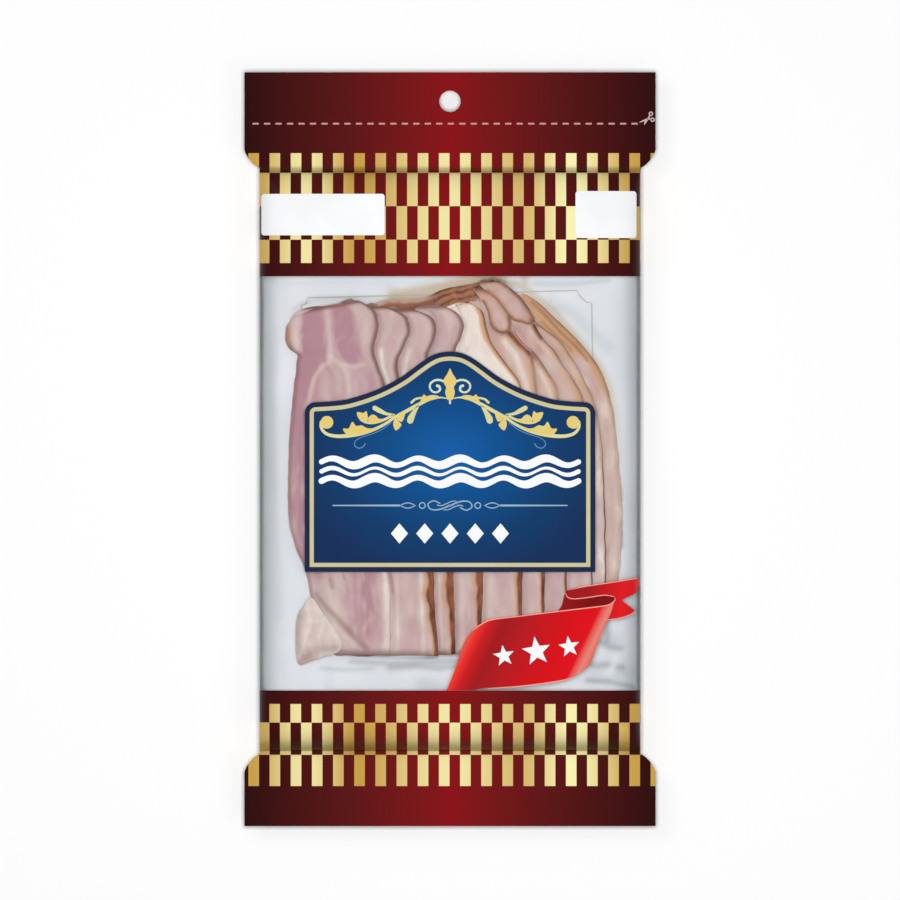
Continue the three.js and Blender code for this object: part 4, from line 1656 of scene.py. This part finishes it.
# Panel signs
# Plain white shapes are printed in the middle of the sign: three wavy rashers, and a row of five
# lozenges under the divider.
RASHER_HALF, RASHER_WAVE, RASHER_SWING, RASHER_STEPS = 46.8, 15.6, 1.25, 48
RASHERS = [(-4.6, 2.5), (-8.1, 1.3), (-11.6, 2.7)]
LOZENGE_STEP, LOZENGE_Y, LOZENGE_HALF, LOZENGE_HEIGHT = 9.2, -30.7, 3.1, 3.7


def rasher(y, width):
    """A wavy stripe that swells and narrows along its length."""
    line = []
    for i in range(RASHER_STEPS + 1):
        x = RASHER_HALF * (2 * i / RASHER_STEPS - 1)
        swell = 1 + 0.25 * math.sin(2 * math.pi * x / 31 + y)
        swing = RASHER_SWING * math.sin(2 * math.pi * x / RASHER_WAVE)
        line.append((x, y + swing, width * swell))
    return stroke(line, 3)


signs = [rasher(y, width) for y, width in RASHERS]
for i in range(5):
    x, low, high = (i - 2) * LOZENGE_STEP, LOZENGE_Y - LOZENGE_HEIGHT, LOZENGE_Y + LOZENGE_HEIGHT
    signs.append([(x - LOZENGE_HALF, LOZENGE_Y), (x, low), (x + LOZENGE_HALF, LOZENGE_Y), (x, high)])
panel_signs = printed_shapes("panel_signs", signs, lift=0.12 * MM)
panel_signs.data.materials.append(white_ink)

# Ribbon
# A red banner printed across the lower right of the window. Its front runs off under the printed
# foot, folds over at the right, and ends behind itself in a swallowtail.
RIBBON_FRONT = [
    [
        (-1.3, -87.85), (0.7, -83), (2.7, -77.5), (4.7, -71.5), (6.4, -68.4), (8.2, -66.2),
        (11.2, -64.0), (15.2, -62.2), (17.8, -61.7),
    ],
    [(17.8, -61.7), (25.6, -60.9), (39.2, -59.2), (51.8, -57.7), (57.3, -56.9), (59.8, -55.4)],
    [
        (59.8, -55.4), (58.8, -59.0), (57.3, -62.5), (54.7, -68.4), (52.3, -75.2), (50.6, -78.6),
        (48.6, -80.6), (45.6, -82.6),
    ],
    [(45.6, -82.6), (40.2, -84.2), (27.7, -86.0), (13, -87.0), (7.7, -87.85)],
]
RIBBON_FOLD = [
    (42.0, -52.5), (43.0, -54.0), (45.4, -54.5), (50.3, -54.0), (56.2, -53.2), (59.7, -53.8),
    (60.1, -54.9), (57.3, -56.8), (51.8, -57.6), (40.3, -59.0), (40.7, -57),
]
RIBBON_BACK = [
    [(40.3, -59.3), (41.0, -56.2), (42.0, -52.6), (42.8, -51.4), (44.8, -50.7), (49.2, -50.0)],
    [(49.2, -50.0), (57.8, -48.7), (68.95, -47.0)],
    [(68.95, -47.0), (68.8, -50.0), (67.8, -52.2), (65.4, -53.6), (62.5, -55.0)],
    [(62.5, -55.0), (64.7, -56.7), (67.5, -58.9)],
    [(67.5, -58.9), (64.8, -60.6), (57.8, -62.2), (54.0, -62.0)],
]
RED_DEEP, RED, RED_BRIGHT = srgb(156, 24, 28), srgb(194, 26, 32), srgb(222, 26, 32)
RED_GLOW, RED_PALE, RED_SHADE = srgb(222, 88, 68), srgb(226, 130, 118), srgb(116, 12, 16)
FRONT_REDS = [
    (0.0, RED_GLOW),
    (0.06, srgb(228, 44, 40)),
    (0.12, RED),
    (0.22, RED_DEEP),
    (0.4, srgb(178, 24, 30)),
    (0.7, srgb(210, 12, 22)),
    (0.87, srgb(218, 16, 26)),
    (0.94, RED_PALE),
    (1.0, RED_GLOW),
]
BACK_REDS = [(0.0, RED_DEEP), (0.35, RED_DEEP), (0.75, RED_BRIGHT), (1.0, RED)]
FOLD_REDS = [(0.0, srgb(150, 20, 24)), (0.6, RED_SHADE), (1.0, srgb(126, 14, 18))]
# Light edges of the banner, as pen strokes
RIBBON_EDGES = [
    [
        (8.0, -66.2, 0.2), (11.2, -63.9, 0.45), (15.2, -62.1, 0.45), (25.6, -60.8, 0.35),
        (39.2, -59.1, 0.4), (51.8, -57.6, 0.4), (57.3, -56.8, 0.35), (59.9, -55.2, 0.3),
        (60.0, -54.2, 0.25),
    ],
    [
        (42.1, -52.6, 0.2), (43.0, -54.0, 0.35), (45.4, -54.5, 0.35), (50.3, -54.0, 0.35),
        (56.2, -53.2, 0.35), (59.7, -53.7, 0.25),
    ],
    [(43.0, -51.3, 0.15), (49.2, -50.0, 0.35), (57.8, -48.7, 0.35), (68.0, -47.1, 0.3)],
    [(56.5, -62.2, 0.15), (62.0, -61.5, 0.35), (65.5, -60.3, 0.3), (67.3, -59.0, 0.2)],
    [(14.0, -87.2, 0.2), (27.7, -86.1, 0.4), (40.2, -84.3, 0.35), (45.6, -82.7, 0.2)],
]


def ribbon_ink(name, stops, slant, low, high):
    """Red that changes across the banner, as on cloth that bends away from the light."""
    nodes = Nodes(name)
    x, y = nodes.place_xy()
    along = nodes.math("MULTIPLY_ADD", y, -slant, x)
    share = nodes.add(
        "ShaderNodeMapRange", {"Value": along, "From Min": low * MM, "From Max": high * MM}
    ).outputs[0]
    film_surface(nodes)
    return nodes.finish(Base_Color=nodes.ramp(share, stops), Specular_IOR_Level=INK_SPECULAR)


def cornered(sides):
    """A closed outline of smooth sides that meet in sharp corners."""
    return [point for side in sides for point in curve_through(side, 4)[:-1]]


ribbon_back = printed_shapes("ribbon_back", [cornered(RIBBON_BACK)], lift=0.07 * MM, cell=1.0)
ribbon_back.data.materials.append(ribbon_ink("ribbon_back_ink", BACK_REDS, 0.2, 50, 82))
fold_outline = curve_through(RIBBON_FOLD, 4, closed=True)
ribbon_fold = printed_shapes("ribbon_fold", [fold_outline], lift=0.1 * MM, cell=1.0)
ribbon_fold.data.materials.append(ribbon_ink("ribbon_fold_ink", FOLD_REDS, 0.2, 50, 72))
ribbon_front = printed_shapes("ribbon_front", [cornered(RIBBON_FRONT)], lift=0.13 * MM, cell=1.2)
ribbon_front.data.materials.append(ribbon_ink("ribbon_front_ink", FRONT_REDS, 0.48, 39, 89))
edge_strokes = [stroke(line) for line in RIBBON_EDGES]
ribbon_lights = printed_shapes("ribbon_lights", edge_strokes, lift=0.17 * MM, cell=1.5)
ribbon_lights.data.materials.append(plain_ink("ribbon_light_ink", srgb(250, 158, 140)))


# Three plain white stars run along the banner
def star(x, y, radius, tilt):
    """A five-pointed star."""
    points = []
    for i in range(10):
        turn = math.pi / 2 + tilt + math.pi * i / 5
        reach = radius if i % 2 == 0 else radius * 0.42
        points.append((x + reach * math.cos(turn), y + reach * math.sin(turn)))
    return points


TILT = math.radians(8)
STARS_X, STARS_Y = 31.5, -73.6
stars = []
for step, size in ((-12, 4.0), (0, 5.4), (12, 4.0)):
    x, y = STARS_X + step * math.cos(TILT), STARS_Y + step * math.sin(TILT)
    stars.append(star(x, y, size, TILT))
ribbon_stars = printed_shapes("ribbon_stars", stars, lift=0.17 * MM, cell=3.0)
ribbon_stars.data.materials.append(white_ink)


# Label patches
# Two white boxes with rounded corners, printed over the checks beside the window's head.
def rounded_box(left, bottom, right, top, radius):
    """A box with rounded corners, in millimetres."""
    points = []
    for x, y, start in ((right, bottom, -90), (right, top, 0), (left, top, 90), (left, bottom, 180)):
        cx = x - radius if x == right else x + radius
        cy = y + radius if y == bottom else y - radius
        for i in range(7):
            turn = math.radians(start + 15 * i)
            points.append((cx + radius * math.cos(turn), cy + radius * math.sin(turn)))
    return points


boxes = [rounded_box(-68.7, 77.9, -23.8, 93.0, 1.1), rounded_box(45.7, 76.9, 67.9, 94.0, 1.1)]
patches = printed_shapes("label_patches", boxes, lift=0.1 * MM, cell=0.8)
patches.data.materials.append(white_ink)

# Cut line
# A dashed line printed across the header shows where to cut it off, with scissors at its end.
DASH_LENGTH, DASH_WIDTH, DASH_PERIOD, DASH_COUNT = 2.3, 0.66, 4.19, 34
DASH_START, CUT_LINE = 66.2, 118.75
SCISSORS = [
    ring(73.3, 122.4, 0.62, 0.36),
    ring(73.9, 120.2, 0.6, 0.36),
    stroke([(72.9, 121.7, 0.35), (72.3, 120.7, 0.55), (71.5, 119.6, 0.6), (70.9, 118.5, 0.3)]),
    stroke([(73.3, 120.3, 0.3), (72.4, 120.5, 0.55), (71.0, 120.0, 0.55), (69.3, 119.3, 0.25)]),
]
dash_low, dash_high = CUT_LINE - DASH_WIDTH / 2, CUT_LINE + DASH_WIDTH / 2
dash = rounded_box(DASH_START, dash_low, DASH_START + DASH_LENGTH, dash_high, 0.2)
dashes = flat_shape("cut_line", [dash])
row_of_dashes = dashes.modifiers.new("row", "ARRAY")
row_of_dashes.count = DASH_COUNT
row_of_dashes.use_relative_offset = False
row_of_dashes.use_constant_offset = True
row_of_dashes.constant_offset_displace = (-DASH_PERIOD * MM, 0, 0)
apply_modifiers(dashes)
cut_in_cells(dashes, 3)
lay_on_film(dashes, 0.08 * MM)
dashes.data.materials.append(plain_ink("dash_ink", srgb(196, 150, 146)))
scissors = printed_shapes("cut_scissors", SCISSORS, lift=0.08 * MM, cell=3.0)
scissors.data.materials.append(plain_ink("scissors_ink", srgb(214, 194, 194)))

# Studio
# A plain pale table under a broad soft light, seen from straight above.
bpy.ops.object.select_all(action="DESELECT")
bpy.ops.mesh.primitive_plane_add(size=6, location=(0, 0, 0))
floor = bpy.context.object
floor.name = "studio_floor"
floor_paint = Nodes("studio_floor").finish(Base_Color=(0.95, 0.95, 0.95, 1), Roughness=0.9)
floor.data.materials.append(floor_paint)

world = bpy.data.worlds.new("studio_world")
bpy.context.scene.world = world
world.use_nodes = True
surroundings = world.node_tree.nodes["Background"]
surroundings.inputs["Color"].default_value = (1, 1, 1, 1)
surroundings.inputs["Strength"].default_value = 0.09


def soft_light(name, place, size, watts):
    """A square light that faces the pack."""
    data = bpy.data.lights.new(name, "AREA")
    data.shape = "SQUARE"
    data.size = size
    data.energy = watts
    light = bpy.data.objects.new(name, data)
    light.location = place
    light.rotation_euler = (-Vector(place)).to_track_quat("-Z", "Y").to_euler()
    bpy.context.scene.collection.objects.link(light)
    return light


overhead = soft_light("overhead", (0.0, 0.0, 1.8), 0.7, 29.5)
overhead.visible_glossy = overhead.visible_camera = False
soft_light("left_key", (-0.95, 0.8, 1.1), 0.6, 2.6)
soft_light("right_fill", (1.0, -0.6, 1.0), 0.6, 1.6)

PHOTO_SIZE = 900
PACK_LENGTH_IN_PHOTO = 753.7
PHOTO_MIDDLE_Y = -0.3 * MM
CAMERA_DISTANCE = 5
camera_data = bpy.data.cameras.new("camera")
camera = bpy.data.objects.new("camera", camera_data)
bpy.context.scene.collection.objects.link(camera)
view_width = 2 * TOP * PHOTO_SIZE / PACK_LENGTH_IN_PHOTO
camera_data.lens = camera_data.sensor_width * CAMERA_DISTANCE / view_width
camera.location = (0, PHOTO_MIDDLE_Y, CAMERA_DISTANCE + SEAL_HEIGHT)
bpy.context.scene.camera = camera
bpy.context.scene.view_settings.view_transform = "Standard"
